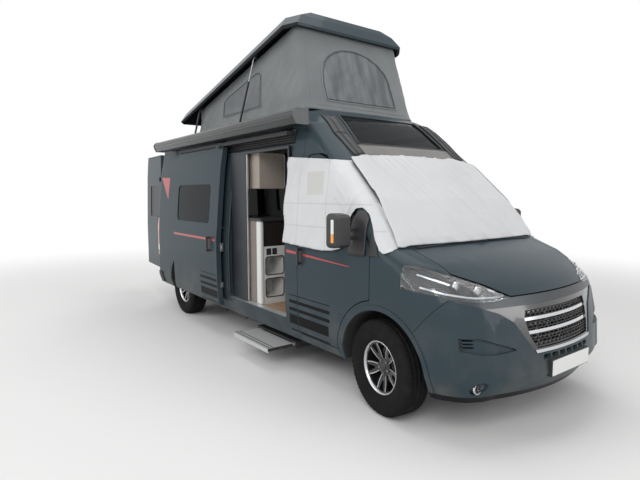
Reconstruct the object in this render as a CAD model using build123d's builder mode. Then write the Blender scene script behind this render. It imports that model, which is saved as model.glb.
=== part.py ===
from build123d import *
import math
import os

os.makedirs("parts", exist_ok=True)

# A high-roof camper van with a raised sleeping roof. Millimetres, +X forward, +Y to
# the vehicle's left, +Z up, ground at Z 0. Places along the vehicle are given as the
# distance behind the nose, and aft() turns them into X.

# Driving dimensions of the vehicle
length = 5998
half_width = 1025
wheelbase = 4035
front_overhang = 948
floor_top = 500
floor_thickness = 60
sill_bottom_z = 317
wall = 60
roof_wall = 30
seam = 8
roof_crown_z = 2524

# Wheels and their arches
tyre_diameter = 744
tyre_width = 225
rim_diameter = 441
tyre_inset_front = 7.5
tyre_inset_rear = 17.5
arch_radius = 452
lip_width = 38
lip_stand = 7
liner_wall = 4
steer_rest = -7
kingpin_y = 800

# Rear doors, whose open one reaches furthest back
rear_door_open = 86
rear_door_width = 925
rear_hinge_y = rear_door_width + 20
rear_hinge_back = 14
rear_free_edge = rear_hinge_y - seam / 2
open_turn = math.radians(rear_door_open)
rear_reach = rear_hinge_back * (1 - math.cos(open_turn)) + rear_free_edge * math.sin(open_turn)
nose_x = (length + rear_reach) / 2


def aft(distance):
    """X of a place that lies this far behind the nose."""
    return nose_x - distance


front_axle_x = aft(front_overhang)
rear_axle_x = aft(front_overhang + wheelbase)
axle_z = tyre_diameter / 2
track_front = 2 * (half_width - tyre_inset_front) - tyre_width
track_rear = 2 * (half_width - tyre_inset_rear) - tyre_width
floor_bottom_z = floor_top - floor_thickness

# Horizontal slices of the body, from the bumper's foot to the roof's edge.
# Columns: height, nose at the centre line, distance and half width where the front
# face turns into the corner, distance and half width where the side begins, rear face.
slices = [
    (290, 105, 215, 640, 560, 955, length),
    (450, 0, 120, 660, 520, 1008, length),
    (640, 22, 140, 680, 530, 1020, length),
    (900, 88, 205, 715, 590, half_width, length),
    (1000, 138, 252, 745, 640, half_width, length),
    (1080, 232, 340, 780, 735, half_width, length),
    (1200, 480, 556, 822, 885, half_width - 2, length),
    (1300, 820, 860, 850, 1040, 1012, length - 4),
    (1650, 1120, 1140, 840, 1300, 984, length - 14),
    (2000, 1500, 1520, 797, 1710, 951, length - 26),
    (2360, 1915, 1935, 735, 2140, 892, length - 52),
    (2450, 2028, 2056, 690, 2280, 848, length - 68),
    (2500, 2104, 2145, 630, 2350, 785, length - 88),
    (roof_crown_z + 1, 2160, 2210, 560, 2410, 700, length - 110),
]
front_slices = slices[:8]
rear_corner = 85


def body_outline(row, inset):
    """One slice of the body, drawn this far inside its outer skin."""
    z, nose, turn_d, turn_y, side_d, side_y, rear = row
    tip = (aft(nose + inset), 0)
    turn = (aft(turn_d + inset), turn_y - inset)
    side = (aft(side_d + inset), side_y - inset)
    tail_side = (aft(rear - rear_corner), side_y - inset)
    tail = (aft(rear - inset), side_y - rear_corner)
    with BuildSketch(Plane.XY.offset(z)) as outline:
        with BuildLine():
            ThreePointArc((turn[0], -turn[1]), tip, turn)
            corner = TangentArc(side, turn, tangent=(1, 0))
            flank = Line(side, tail_side)
            tail_arc = TangentArc(tail_side, tail, tangent=(-1, 0))
            mirror([corner, flank, tail_arc], about=Plane.XZ)
            Line(tail, (tail[0], -tail[1]))
        make_face()
    return outline.sketch


def body_volume(inset, rows):
    """The solid inside the body's skin, shrunk by the inset."""
    with BuildPart() as volume:
        for row in rows:
            add(body_outline(row, inset))
        loft(ruled=True)
    return volume.part


def front_shell(near, far):
    """The layer of the van's front between two depths below the skin."""
    with BuildPart() as layer:
        add(body_volume(near, front_slices))
        add(body_volume(far, front_slices), mode=Mode.SUBTRACT)
    return layer.part


def yz_region(points, d_from, d_to):
    """A prism along X from an outline of (y, z) points, between two distances."""
    with BuildPart() as region:
        with BuildSketch(Plane.YZ.offset(aft(d_to))):
            with BuildLine():
                Polyline(*points, close=True)
            make_face()
        extrude(amount=d_to - d_from)
    return region.part


def xz_region(points, y_from, y_to):
    """A prism along Y from an outline of (distance, z) points, between two Y values."""
    with BuildPart() as region:
        with BuildSketch(Plane.XZ.offset(-y_to)):
            with BuildLine():
                Polyline(*[(aft(d), z) for d, z in points], close=True)
            make_face()
        extrude(amount=y_to - y_from)
    return region.part


def box_region(d_from, d_to, y_from, y_to, z_from, z_to):
    """A plain box between distances, widths and heights."""
    with BuildPart() as region:
        with BuildSketch(Plane.XY.offset(z_from)):
            with Locations(((aft(d_from) + aft(d_to)) / 2, (y_from + y_to) / 2)):
                Rectangle(d_to - d_from, y_to - y_from)
        extrude(amount=z_to - z_from)
    return region.part


def side_box(side, d_from, d_to, y_near, y_far, z_from, z_to):
    """A plain box on one side of the vehicle, between two half widths."""
    low, high = sorted((side * y_near, side * y_far))
    return box_region(d_from, d_to, low, high, z_from, z_to)


def disc_region(centre_x, centre_z, radius, y_from, y_to):
    """A round bar along Y, between two Y values in either order."""
    low, high = sorted((y_from, y_to))
    with BuildPart() as region:
        with BuildSketch(Plane.XZ.offset(-high)):
            with Locations((centre_x, centre_z)):
                Circle(radius)
        extrude(amount=high - low)
    return region.part


def rounded_window(d_from, d_to, z_from, z_to, y_from, y_to, corner):
    """A window's outline with round corners, as a prism along Y."""
    with BuildPart() as region:
        with BuildSketch(Plane.XZ.offset(-y_to)):
            with Locations(((aft(d_from) + aft(d_to)) / 2, (z_from + z_to) / 2)):
                RectangleRounded(d_to - d_from, z_to - z_from, corner)
        extrude(amount=y_to - y_from)
    return region.part


def both_halves(outline):
    """A whole outline of (y, z) points from its left half, which starts and ends at y 0."""
    return list(outline) + [(-y, z) for y, z in reversed(outline) if y > 0]


def front_region(outline, d_from, d_to):
    """A prism along X over both sides of the centre line."""
    return yz_region(both_halves(outline), d_from, d_to)


def left_region(outline, d_from, d_to, side):
    """A prism along X on one side of the centre line."""
    return yz_region([(side * y, z) for y, z in outline], d_from, d_to)


def both_sides(left):
    """A left-hand piece together with its mirror image on the right."""
    with BuildPart() as pair:
        add(left)
        add(left.mirror(Plane.XZ))
    return pair.part


def write(piece, name):
    """Label a finished piece and write its file."""
    piece.label = name
    export_step(piece, f"parts/{name}.step")


# Heights and distances of the seams between the panels
bonnet_front_z = 1000
bonnet_rear_d = 812
bonnet_rear_z = 1296
bonnet_seam_y = 800
wing_rear_d = 1062
scuttle_z = 1301
lip_strip = 70
door_bottom_z = 395
cab_door_rear_d = 2040
side_top_z = 2300
roof_front_d = 2190
rear_sill_z = floor_top
rear_header_z = 2325
lamp_rear_d = 735
half_y = half_width + 60

# Outlines of (distance, height) and (half width, height) that cut the panels
cab_door_outline = [
    (wing_rear_d, door_bottom_z), (wing_rear_d, 1275), (1105, 1330), (1400, 1665), (1745, 2030),
    (1800, 2052), (1925, 2052), (cab_door_rear_d, 1955), (cab_door_rear_d, door_bottom_z),
]
cab_window_outline = [
    (1268, 1300), (1268, 1420), (1440, 1620), (1752, 1958), (1815, 1985),
    (1900, 1985), (1968, 1918), (1968, 1300),
]
bumper_seam = [(376, 996), (582, 767), (690, 660), (690, 200)]
bumper_outline = [(-40, 200), (-40, 996)] + bumper_seam
wing_outline = [(290, 996)] + bumper_seam[:3] + [
    (690, 300), (1600, 300), (1600, 900), (wing_rear_d - seam, 900), (wing_rear_d - seam, scuttle_z),
    (290, scuttle_z),
]
bonnet_outline = [
    (0, bonnet_front_z + 4), (497, bonnet_front_z + 4), (640, 1082), (bonnet_seam_y, 1152),
    (bonnet_seam_y, 1400), (0, 1400),
]
headlamp_outline = [
    (512, 996), (645, 1068), (800, 1138), (950, 1199), (1100, 1199), (1100, 1050), (935, 1008),
    (800, 984), (650, 980),
]
windscreen_outline = [(0, 1362), (775, 1362), (700, 2030), (0, 2030)]
skylight_outline = [(0, 2150), (590, 2150), (530, 2465), (0, 2465)]

# Outer skin and the hollow inside it, with flat round lips about the wheels
groove_width = 4
groove_depth = 6
outer = body_volume(0, slices)
inner_slices = slices[:-2] + [(row[0] - roof_wall,) + row[1:] for row in slices[-2:]]
inner = body_volume(wall, inner_slices)

with BuildPart() as seam_lines:
    for outline in (
        bumper_seam[:3] + [(690, 300)],
        [(cab_door_rear_d + seam / 2, 2030), (cab_door_rear_d + seam / 2, side_top_z), (length + 40, side_top_z)],
    ):
        with BuildSketch(Plane.XZ.offset(-half_y)):
            with BuildLine():
                Polyline(*[(aft(d), z) for d, z in outline])
            trace(line_width=groove_width)
        extrude(amount=2 * half_y)
    add(box_region(roof_front_d - groove_width / 2, roof_front_d + groove_width / 2, -half_y, half_y, side_top_z, 2600))
    add(outer, mode=Mode.INTERSECT)
    add(body_volume(groove_depth, slices), mode=Mode.SUBTRACT)

with BuildPart() as walls:
    add(outer)
    add(inner, mode=Mode.SUBTRACT)
    for axle_x in (front_axle_x, rear_axle_x):
        add(disc_region(axle_x, axle_z, arch_radius, -half_y, half_y), mode=Mode.SUBTRACT)
    add(seam_lines.part, mode=Mode.SUBTRACT)

lip_layer = front_shell(-lip_stand, 10)
arch_lips = {}
for axle_x in (front_axle_x, rear_axle_x):
    with BuildPart() as ring:
        add(disc_region(axle_x, axle_z, arch_radius + lip_width, 500, half_y))
        add(disc_region(axle_x, axle_z, arch_radius, 500, half_y), mode=Mode.SUBTRACT)
        add(box_region(-60, length + 60, -half_y, half_y, 0, sill_bottom_z), mode=Mode.SUBTRACT)
        add(lip_layer, mode=Mode.INTERSECT)
    arch_lips[axle_x] = ring.part

# Rear doors and tail lamps on the rear face
rear_door_outline = [
    (seam / 2, rear_sill_z + seam), (rear_door_width, rear_sill_z + seam), (rear_door_width, 1300),
    (868, 2060), (812, rear_header_z - seam), (seam / 2, rear_header_z - seam),
]
rear_opening_outline = [
    (0, rear_sill_z), (rear_door_width + seam, rear_sill_z), (rear_door_width + seam, 1300),
    (868 + seam, 2060 + seam), (812 + seam, rear_header_z), (0, rear_header_z),
]
lamp_z_low = 760
lamp_z_high = 1330
lamp_depth = 120

# The roof: the high cap behind the cab, with the bed opening under the raised roof
roof_opening_front_d = 2420
roof_opening_rear_d = 4700
roof_opening_half = 600
roof_opening_corner = 60
above_body_z = 2600

with BuildPart() as roof_panel:
    add(walls.part)
    add(box_region(roof_front_d, length + 40, -half_y, half_y, side_top_z, above_body_z), mode=Mode.INTERSECT)
    with BuildSketch(Plane.XY.offset(side_top_z)):
        with Locations(((aft(roof_opening_front_d) + aft(roof_opening_rear_d)) / 2, 0)):
            RectangleRounded(roof_opening_rear_d - roof_opening_front_d, 2 * roof_opening_half, roof_opening_corner)
    extrude(amount=above_body_z - side_top_z, mode=Mode.SUBTRACT)
    add(front_region(rear_opening_outline, length - 300, length + 40), mode=Mode.SUBTRACT)

# The side opening for the sliding door, and its place when it is open
opening_front_d = 2250
opening_rear_d = 3500
opening_top_z = 2175
opening_corner = 90
opening_foot_corner = 40
opening_foot_z = floor_top + 400
sliding_front_d = 2200
sliding_length = 1400
sliding_bottom_z = 392
sliding_top_z = 2245
sliding_travel = 1362
sliding_out = 110

window_z_low = 1350
window_z_high = 1818
window_corner = 60
left_windows = [
    # distances where each window starts and ends, and its height from and to
    (2560, 3460, window_z_low, window_z_high),
    (4980, 5560, window_z_low + 60, window_z_high),
]
sliding_window = (2429, 3477)
side_front_d = 1475


lamp_region = box_region(length - lamp_depth, length + 40, rear_door_width + 2 * seam, half_y, lamp_z_low, lamp_z_high)
with BuildPart() as side_panel:
    add(walls.part)
    add(box_region(side_front_d, length + 40, 20, half_y, sill_bottom_z, side_top_z), mode=Mode.INTERSECT)
    add(arch_lips[rear_axle_x])
    add(box_region(1000, cab_door_rear_d + seam, 20, half_y, door_bottom_z - seam, above_body_z), mode=Mode.SUBTRACT)
    add(front_region(rear_opening_outline, length - 300, length + 40), mode=Mode.SUBTRACT)
    add(box_region(length - 200, length + 40, 20, half_y, 200, rear_sill_z), mode=Mode.SUBTRACT)
with BuildPart() as tail_lamp:
    add(side_panel.part)
    add(lamp_region, mode=Mode.INTERSECT)
tail_lamps = both_sides(tail_lamp.part)

with BuildPart() as side_left:
    add(side_panel.part)
    add(lamp_region, mode=Mode.SUBTRACT)
    for d_from, d_to, z_from, z_to in left_windows:
        add(rounded_window(d_from, d_to, z_from, z_to, 700, half_y, window_corner), mode=Mode.SUBTRACT)

with BuildPart() as side_right:
    add(side_panel.part.mirror(Plane.XZ))
    add(lamp_region.mirror(Plane.XZ), mode=Mode.SUBTRACT)
    for top_z, corner in ((opening_top_z, opening_corner), (opening_foot_z, opening_foot_corner)):
        add(rounded_window(opening_front_d, opening_rear_d, floor_top, top_z, -half_y, -700, corner),
            mode=Mode.SUBTRACT)

# The sliding door, made at its closed place and stored where the photo has it, open.
# Its arms ride on the belt rail and the top rail.
rail_z_low = 1296
rail_z_high = 1324
rail_front_d = 3560
rail_rear_d = 4990
rail_out_y = 1042
top_rail_z = 2256
top_rail_height = 38
arm_width = 60
arm_places = (3640, 4840)

with BuildPart() as sliding_door_closed:
    add(walls.part)
    add(box_region(sliding_front_d, sliding_front_d + sliding_length, -half_y, -700, sliding_bottom_z, sliding_top_z),
        mode=Mode.INTERSECT)
    add(rounded_window(sliding_window[0], sliding_window[1], window_z_low, window_z_high, -half_y, -700, window_corner),
        mode=Mode.SUBTRACT)
with BuildPart() as sliding_door:
    with Locations((-sliding_travel, -sliding_out, 0)):
        add(sliding_door_closed.part)
    for place in arm_places:
        add(box_region(place, place + arm_width, -rail_out_y - 45, -rail_out_y, rail_z_low + 4, rail_z_high - 4))
    add(box_region(rail_front_d + 40, rail_front_d + 120, -1060, -960, sliding_top_z - 7, top_rail_z))


# Left cab door with its window cut out
with BuildPart() as cab_door_left:
    add(walls.part)
    add(xz_region(cab_door_outline, 500, half_y), mode=Mode.INTERSECT)
    add(xz_region(cab_window_outline, 500, half_y), mode=Mode.SUBTRACT)
    add(disc_region(front_axle_x, axle_z, arch_radius + lip_strip + seam, 500, half_y), mode=Mode.SUBTRACT)

# Bonnet, wings and bumper share the body's skin
with BuildPart() as bonnet:
    add(walls.part)
    add(front_region(bonnet_outline, -60, bonnet_rear_d), mode=Mode.INTERSECT)
    add(box_region(-60, bonnet_rear_d, -half_y, half_y, 900, bonnet_rear_z), mode=Mode.INTERSECT)

with BuildPart() as wing_left:
    add(walls.part)
    add(arch_lips[front_axle_x])
    add(xz_region(wing_outline, 500, half_y), mode=Mode.INTERSECT)
    add(box_region(-60, 1600, 400, bonnet_seam_y + seam, 900, 1400), mode=Mode.SUBTRACT)
    add(left_region(headlamp_outline, -60, lamp_rear_d, 1), mode=Mode.SUBTRACT)
    with BuildSketch(Plane.XZ.offset(-half_y)):
        with BuildLine():
            Polyline((aft(wing_rear_d - seam), 0), (aft(1700), 0), (aft(1700), 900),
                     (aft(wing_rear_d - seam), 900), close=True)
        make_face()
        with Locations((front_axle_x, axle_z)):
            Circle(arch_radius + lip_strip, mode=Mode.SUBTRACT)
    extrude(amount=half_y - 500, mode=Mode.SUBTRACT)
    add(box_region(900, 1700, 500, half_y, 0, sill_bottom_z), mode=Mode.SUBTRACT)
front_wings = both_sides(wing_left.part)

# Front face: a dark surround that tapers to the headlamps, with a slotted grille in it,
# a satin band under the bonnet, and a bumper with slots, side scoops, vents and fog lamps
band_low_z = 938
surround_outline = [
    (0, 606), (375, 606), (440, 700), (530, 830), (640, 900), (780, 950), (905, 985), (905, 1000), (0, 1000),
]
mesh_outline = [(0, 640), (352, 640), (400, 720), (430, 840), (412, 905), (0, 905)]
surround_far_d = 560
surround_depth = 6
mesh_depth = 26
slot_size = (104, 30)
slot_pitch = (120, 44)
bar_height = 22
bars = [
    # height of each bright bar, and how far it reaches from the centre line
    (838, 432),
    (748, 412),
]
bumper_slots = 7
bumper_slot_size = (74, 34)
bumper_slot_pitch = 90
bumper_slot_z = 574
vent_y = 875
vent_z = 712
vent_size = (80, 12)
vent_pitch = 23
vent_count = 3
scoop_outline = [(925, 668), (925, 752), (815, 752), (560, 664), (548, 650), (700, 636), (815, 646)]
scoop_depth = 16
fog_y = 812
fog_z = 411
fog_radius = 34
fog_recess = 50
fog_depth = 28

scoop_layer = front_shell(-1, scoop_depth)
with BuildPart() as front_bumper:
    add(walls.part)
    add(both_sides(arch_lips[front_axle_x]))
    add(xz_region(bumper_outline, -half_y, half_y), mode=Mode.INTERSECT)
    add(front_region(surround_outline, -60, surround_far_d), mode=Mode.SUBTRACT)
    for side in (1, -1):
        add(left_region(headlamp_outline, -60, lamp_rear_d, side), mode=Mode.SUBTRACT)
        with BuildPart(mode=Mode.PRIVATE) as scoop:
            add(left_region(scoop_outline, -60, 400, side))
            with BuildSketch(Plane.YZ.offset(aft(400))):
                with Locations((side * fog_y, fog_z)):
                    Circle(fog_recess)
            extrude(amount=460)
            add(scoop_layer, mode=Mode.INTERSECT)
        add(scoop.part, mode=Mode.SUBTRACT)
    with BuildSketch(Plane.YZ.offset(aft(420))):
        with GridLocations(bumper_slot_pitch, 1, bumper_slots, 1):
            with Locations((0, bumper_slot_z)):
                RectangleRounded(*bumper_slot_size, 6)
        for side in (1, -1):
            with Locations((side * vent_y, vent_z)):
                with GridLocations(1, vent_pitch, 1, vent_count):
                    RectangleRounded(*vent_size, 5)
            with Locations((side * fog_y, fog_z)):
                Circle(fog_radius)
    extrude(amount=480, mode=Mode.SUBTRACT)

with BuildPart() as grille:
    with BuildPart(mode=Mode.PRIVATE) as surround:
        add(front_shell(surround_depth, mesh_depth + 16))
        add(front_region(surround_outline, -60, surround_far_d), mode=Mode.INTERSECT)
        add(box_region(-60, surround_far_d, -half_y, half_y, 600, band_low_z), mode=Mode.INTERSECT)
        add(front_region(mesh_outline, -60, surround_far_d), mode=Mode.SUBTRACT)
    with BuildPart(mode=Mode.PRIVATE) as mesh:
        with BuildSketch(Plane.YZ.offset(aft(300))):
            with BuildLine():
                Polyline(*both_halves(mesh_outline), close=True)
            make_face()
            with Locations((0, 772)):
                with GridLocations(*slot_pitch, 7, 5):
                    Rectangle(*slot_size, mode=Mode.SUBTRACT)
        extrude(amount=360)
        add(front_shell(mesh_depth, mesh_depth + 12), mode=Mode.INTERSECT)
    add(surround.part)
    add(mesh.part)

with BuildPart() as nose_band:
    add(front_shell(0, wall))
    add(front_region(surround_outline, -60, surround_far_d), mode=Mode.INTERSECT)
    add(box_region(-60, surround_far_d, -half_y, half_y, band_low_z, 1000), mode=Mode.INTERSECT)
    add(xz_region(bumper_outline, -half_y, half_y), mode=Mode.INTERSECT)
    for side in (1, -1):
        add(left_region(headlamp_outline, -60, lamp_rear_d, side), mode=Mode.SUBTRACT)

with BuildPart() as grille_bars:
    with BuildPart(mode=Mode.PRIVATE) as upper_bars:
        for z, reach in bars:
            add(box_region(-60, 300, -reach, reach, z - bar_height / 2, z + bar_height / 2))
        add(front_region(mesh_outline, -60, 300), mode=Mode.INTERSECT)
        add(front_shell(mesh_depth - 12, mesh_depth), mode=Mode.INTERSECT)
    with BuildPart(mode=Mode.PRIVATE) as lower_bar:
        add(front_region([(0, 610), (372, 610), (384, 632), (0, 632)], -60, 300))
        add(front_shell(-2, surround_depth), mode=Mode.INTERSECT)
    add(upper_bars.part)
    add(lower_bar.part)

# Headlamps: a clear cover over a bowl with two round lamps, and a fog lamp in the bumper
cover_thickness_lamp = 4
bowl_rim = 14
bowl_back = 16
projectors = [
    # half width, height and radius of each round lamp
    (705, 1036, 40),
    (815, 1066, 42),
]


def shrunk(outline, margin):
    """An outline of points drawn in towards its middle by a margin."""
    mid_a = (min(a for a, _ in outline) + max(a for a, _ in outline)) / 2
    mid_z = (min(z for _, z in outline) + max(z for _, z in outline)) / 2
    span_a = max(a for a, _ in outline) - mid_a
    span_z = max(z for _, z in outline) - mid_z
    return [
        (mid_a + (a - mid_a) * (span_a - margin) / span_a, mid_z + (z - mid_z) * (span_z - margin) / span_z)
        for a, z in outline
    ]


lamp_cover_layer = front_shell(0, cover_thickness_lamp)
lamp_bowl_layer = front_shell(cover_thickness_lamp, wall)
lamp_hollow_layer = front_shell(cover_thickness_lamp - 1, wall - bowl_back)
lamp_round_layer = front_shell(cover_thickness_lamp + 8, wall - bowl_back + 1)
fog_layer = front_shell(scoop_depth - 6, wall)
left_lamp_region = left_region(headlamp_outline, -60, lamp_rear_d, 1)
with BuildPart() as headlamp_left:
    with BuildPart(mode=Mode.PRIVATE) as cover:
        add(lamp_cover_layer)
        add(left_lamp_region, mode=Mode.INTERSECT)
    add(cover.part)
    with BuildPart(mode=Mode.PRIVATE) as fog:
        with BuildSketch(Plane.YZ.offset(aft(400))):
            with Locations((fog_y, fog_z)):
                Circle(fog_radius)
        extrude(amount=460)
        add(fog_layer, mode=Mode.INTERSECT)
    add(fog.part)
headlamps = both_sides(headlamp_left.part)

with BuildPart() as bowl_left:
    add(lamp_bowl_layer)
    add(left_lamp_region, mode=Mode.INTERSECT)
    with BuildPart(mode=Mode.PRIVATE) as hollow:
        add(lamp_hollow_layer)
        add(left_region(shrunk(headlamp_outline, bowl_rim), -60, lamp_rear_d, 1), mode=Mode.INTERSECT)
    add(hollow.part, mode=Mode.SUBTRACT)
    with BuildPart(mode=Mode.PRIVATE) as rounds:
        with BuildSketch(Plane.YZ.offset(aft(lamp_rear_d))):
            for y, z, radius in projectors:
                with Locations((y, z)):
                    Circle(radius)
                    Circle(radius - 8, mode=Mode.SUBTRACT)
        extrude(amount=lamp_rear_d + 60)
        add(lamp_round_layer, mode=Mode.INTERSECT)
    add(rounds.part)
headlamp_bowls = both_sides(bowl_left.part)

# Cab frame: windscreen pillars, cowl, header and the front of the high roof
cab_frame_outline = [
    (790, scuttle_z), (cab_door_rear_d + seam, scuttle_z), (cab_door_rear_d + seam, side_top_z),
    (roof_front_d, side_top_z), (roof_front_d, above_body_z), (790, above_body_z),
]
cab_opening_outline = [
    (wing_rear_d - 70, 1200), (1040, 1300), (1340, 1672), (1700, 2040), (1770, 2062), (1940, 2062),
    (cab_door_rear_d + 60, 1960), (cab_door_rear_d + 60, 1200),
]
cowl_front_d = 832
cowl_bottom_z = 1241
with BuildPart() as cab_frame:
    with BuildPart(mode=Mode.PRIVATE) as cowl:
        add(walls.part)
        add(box_region(cowl_front_d, 1000, -bonnet_seam_y, bonnet_seam_y, cowl_bottom_z, scuttle_z),
            mode=Mode.INTERSECT)
    add(walls.part)
    add(xz_region(cab_frame_outline, -half_y, half_y), mode=Mode.INTERSECT)
    add(cowl.part)
    add(xz_region(cab_opening_outline, -half_y, half_y), mode=Mode.SUBTRACT)
    add(front_region(windscreen_outline, 600, 2000), mode=Mode.SUBTRACT)
    add(front_region(skylight_outline, 1300, 2180), mode=Mode.SUBTRACT)

# Rear doors, each drawn shut; the right one is then swung to its place in the photo
rear_hinge_x = aft(length + rear_hinge_back)
rear_window_outline = [(250, 1330), (800, 1330), (770, 1830), (250, 1830)]
rear_hinge_heights = (700, 1250, 1900)
hinge_height = 60
hinge_barrel = 9
hinge_leaf = 12
leaf_clearance = 4


with BuildPart() as rear_door_left:
    with BuildPart(mode=Mode.PRIVATE) as hinges:
        for z in rear_hinge_heights:
            add(box_region(length + leaf_clearance, length + hinge_leaf, 850, rear_hinge_y, z, z + hinge_height))
            add(box_region(length - 60, length + hinge_leaf, 790, 862, z, z + hinge_height))
            with BuildSketch(Plane.XY.offset(z)):
                with Locations((rear_hinge_x, rear_hinge_y)):
                    Circle(hinge_barrel)
            extrude(amount=hinge_height)
        add(outer, mode=Mode.SUBTRACT)
    add(walls.part)
    add(left_region(rear_door_outline, length - wall - 45, length + 40, 1), mode=Mode.INTERSECT)
    add(left_region(rear_window_outline, length - 300, length + 40, 1), mode=Mode.SUBTRACT)
    add(hinges.part)

rear_hinge_right = Axis((rear_hinge_x, -rear_hinge_y, 0), (0, 0, 1))

# Glass: panes a little inside the skin, edge to edge with their openings
glass_depth = 8
glass_thickness = 5
with BuildPart() as glazing:
    add(body_volume(glass_depth, inner_slices))
    add(body_volume(glass_depth + glass_thickness, inner_slices), mode=Mode.SUBTRACT)


def pane(region):
    """The glass that fills one opening."""
    with BuildPart() as glass:
        add(glazing.part)
        add(region, mode=Mode.INTERSECT)
    return glass.part


sliding_pane = pane(rounded_window(sliding_window[0], sliding_window[1], window_z_low, window_z_high, -half_y, -700,
                                   window_corner))
with BuildPart() as windows:
    add(pane(front_region(windscreen_outline, 600, 2000)))
    add(pane(front_region(skylight_outline, 1300, 2180)))
    for d_from, d_to, z_from, z_to in left_windows:
        add(pane(rounded_window(d_from, d_to, z_from, z_to, 700, half_y, window_corner)))
    with Locations((-sliding_travel, -sliding_out, 0)):
        add(sliding_pane)


cab_window_left = pane(xz_region(cab_window_outline, 500, half_y))
rear_window_left = pane(left_region(rear_window_outline, length - 300, length + 40, 1))

# Wheel housings: axle, and how far in each reaches
housings = [
    (front_axle_x, 560),
    (rear_axle_x, 620),
]
with BuildPart() as wheel_spaces:
    for axle_x, inner_y in housings:
        for side in (1, -1):
            add(disc_region(axle_x, axle_z, arch_radius, side * inner_y, side * half_y))

with BuildPart() as wheel_liners:
    add(wheel_spaces.part)
    for axle_x, inner_y in housings:
        add(disc_region(axle_x, axle_z, arch_radius - liner_wall, -half_y, half_y), mode=Mode.SUBTRACT)
    add(box_region(0, length, -half_y, half_y, -200, axle_z - 40), mode=Mode.SUBTRACT)
    add(body_volume(10, slices), mode=Mode.INTERSECT)

# Floor pan with the chassis rails, cut round the wheels
rail_y = 430
rail_width = 70
rail_bottom_z = 366
axle_radius = 40
axle_clearance = 15
floor_front_d = 1150
floor_rear_d = length - wall
with BuildPart() as underbody:
    add(box_region(floor_front_d, floor_rear_d, -half_width, half_width, floor_bottom_z, floor_top))
    add(inner, mode=Mode.INTERSECT)
    for side in (1, -1):
        add(side_box(side, 420, length - 180, rail_y, rail_y + rail_width, rail_bottom_z, floor_bottom_z + 1))
    add(wheel_spaces.part, mode=Mode.SUBTRACT)
    add(disc_region(rear_axle_x, axle_z, axle_radius + axle_clearance, -half_width, half_width), mode=Mode.SUBTRACT)

# Running gear
spring_y = 520
spring_width = 70
spring_z = axle_z - 60
spring_reach = 700
rear_axle_d = front_overhang + wheelbase
with BuildPart() as rear_axle:
    add(disc_region(rear_axle_x, axle_z, axle_radius, -740, 740))
    for side in (1, -1):
        spring_out = spring_y + spring_width
        add(side_box(side, rear_axle_d - spring_reach, rear_axle_d + spring_reach, spring_y, spring_out,
                     spring_z, spring_z + 26))
        for end in (rear_axle_d - spring_reach, rear_axle_d + spring_reach - 40):
            add(side_box(side, end, end + 40, spring_y, spring_out, spring_z, floor_bottom_z))

with BuildPart() as front_subframe:
    add(box_region(700, 1160, -420, 420, 270, 330))
    for side in (1, -1):
        add(side_box(side, 880, 1010, 380, 700, 270, 300))
        add(side_box(side, 1060, 1160, rail_y, rail_y + rail_width, 270, rail_bottom_z))
        add(side_box(side, 1060, 1160, 400, rail_y + rail_width, 270, 330))

# Inner frame that the front panels are fixed to
wing_rail_rear_d = 960
with BuildPart() as front_frame:
    add(box_region(180, 260, -620, 620, 430, 540))
    for side in (1, -1):
        add(side_box(side, 240, 420, rail_y, rail_y + rail_width, rail_bottom_z, floor_bottom_z))
        add(side_box(side, 330, wing_rail_rear_d, 790, half_width, 1040, 1096))
        add(side_box(side, 330, 400, 790, half_width, 640, 1096))
        add(side_box(side, 330, 400, 480, 840, 430, 700))
        add(side_box(side, 180, 400, 480, 560, 430, 540))
    add(box_region(900, wing_rail_rear_d, -half_width, half_width, 1090, 1180))
    add(wheel_spaces.part, mode=Mode.SUBTRACT)
    add(inner, mode=Mode.INTERSECT)

with BuildPart() as engine_block:
    add(box_region(340, 890, -330, 330, 330, 960))

knuckle_axes = {side: Axis((front_axle_x, side * kingpin_y, 0), (0, 0, 1)) for side in (1, -1)}


def knuckle(side):
    """Steering knuckle with its kingpin and the brake disc, pointing straight ahead."""
    with BuildPart() as piece:
        add(disc_region(front_axle_x, axle_z, 55, side * 715, side * 825))
        add(disc_region(front_axle_x, axle_z, 140, side * 800, side * 824))
        add(side_box(side, front_overhang - 30, front_overhang + 30, 720, 770, 306, 560))
        with BuildSketch(Plane.XY.offset(300)):
            with Locations((front_axle_x, side * kingpin_y)):
                Circle(16)
        extrude(amount=240)
    return piece.part.rotate(knuckle_axes[side], steer_rest)


# Wheels, turned about their own axis, then the spokes cut between the blades
bead = rim_diameter / 2
crown = tyre_diameter / 2
tyre_half = tyre_width / 2
rim_profile = [
    # radius and place across the wheel, outward positive
    (0, 18), (0, 46), (40, 46), (70, 40), (194, 66), (200, 86), (208, 86), (208, -86), (194, -86),
    (194, 40), (70, 18),
]
tyre_profile = [
    (bead - 12, -88.5), (bead + 80, -tyre_half), (crown - 22, -104), (crown, -78),
    (crown, 78), (crown - 22, 104), (bead + 80, tyre_half), (bead - 12, 88.5),
]


def turned(profile, centre_x, centre_y, side):
    """A ring turned about a wheel's axis from a profile of (radius, across) points."""
    with BuildPart() as piece:
        with BuildSketch(Plane.YZ.offset(centre_x)):
            with BuildLine():
                Polyline(*[(centre_y + side * across, axle_z + out) for out, across in profile], close=True)
            make_face()
        revolve(axis=Axis((centre_x, centre_y, axle_z), (0, 1, 0)))
    return piece.part


spoke_windows = [
    # turn of the first window, where it starts and ends from the hub, half angle at each end
    (0, 72, 186, 13, 19),
    (36, 112, 186, 4, 9),
]


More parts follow.
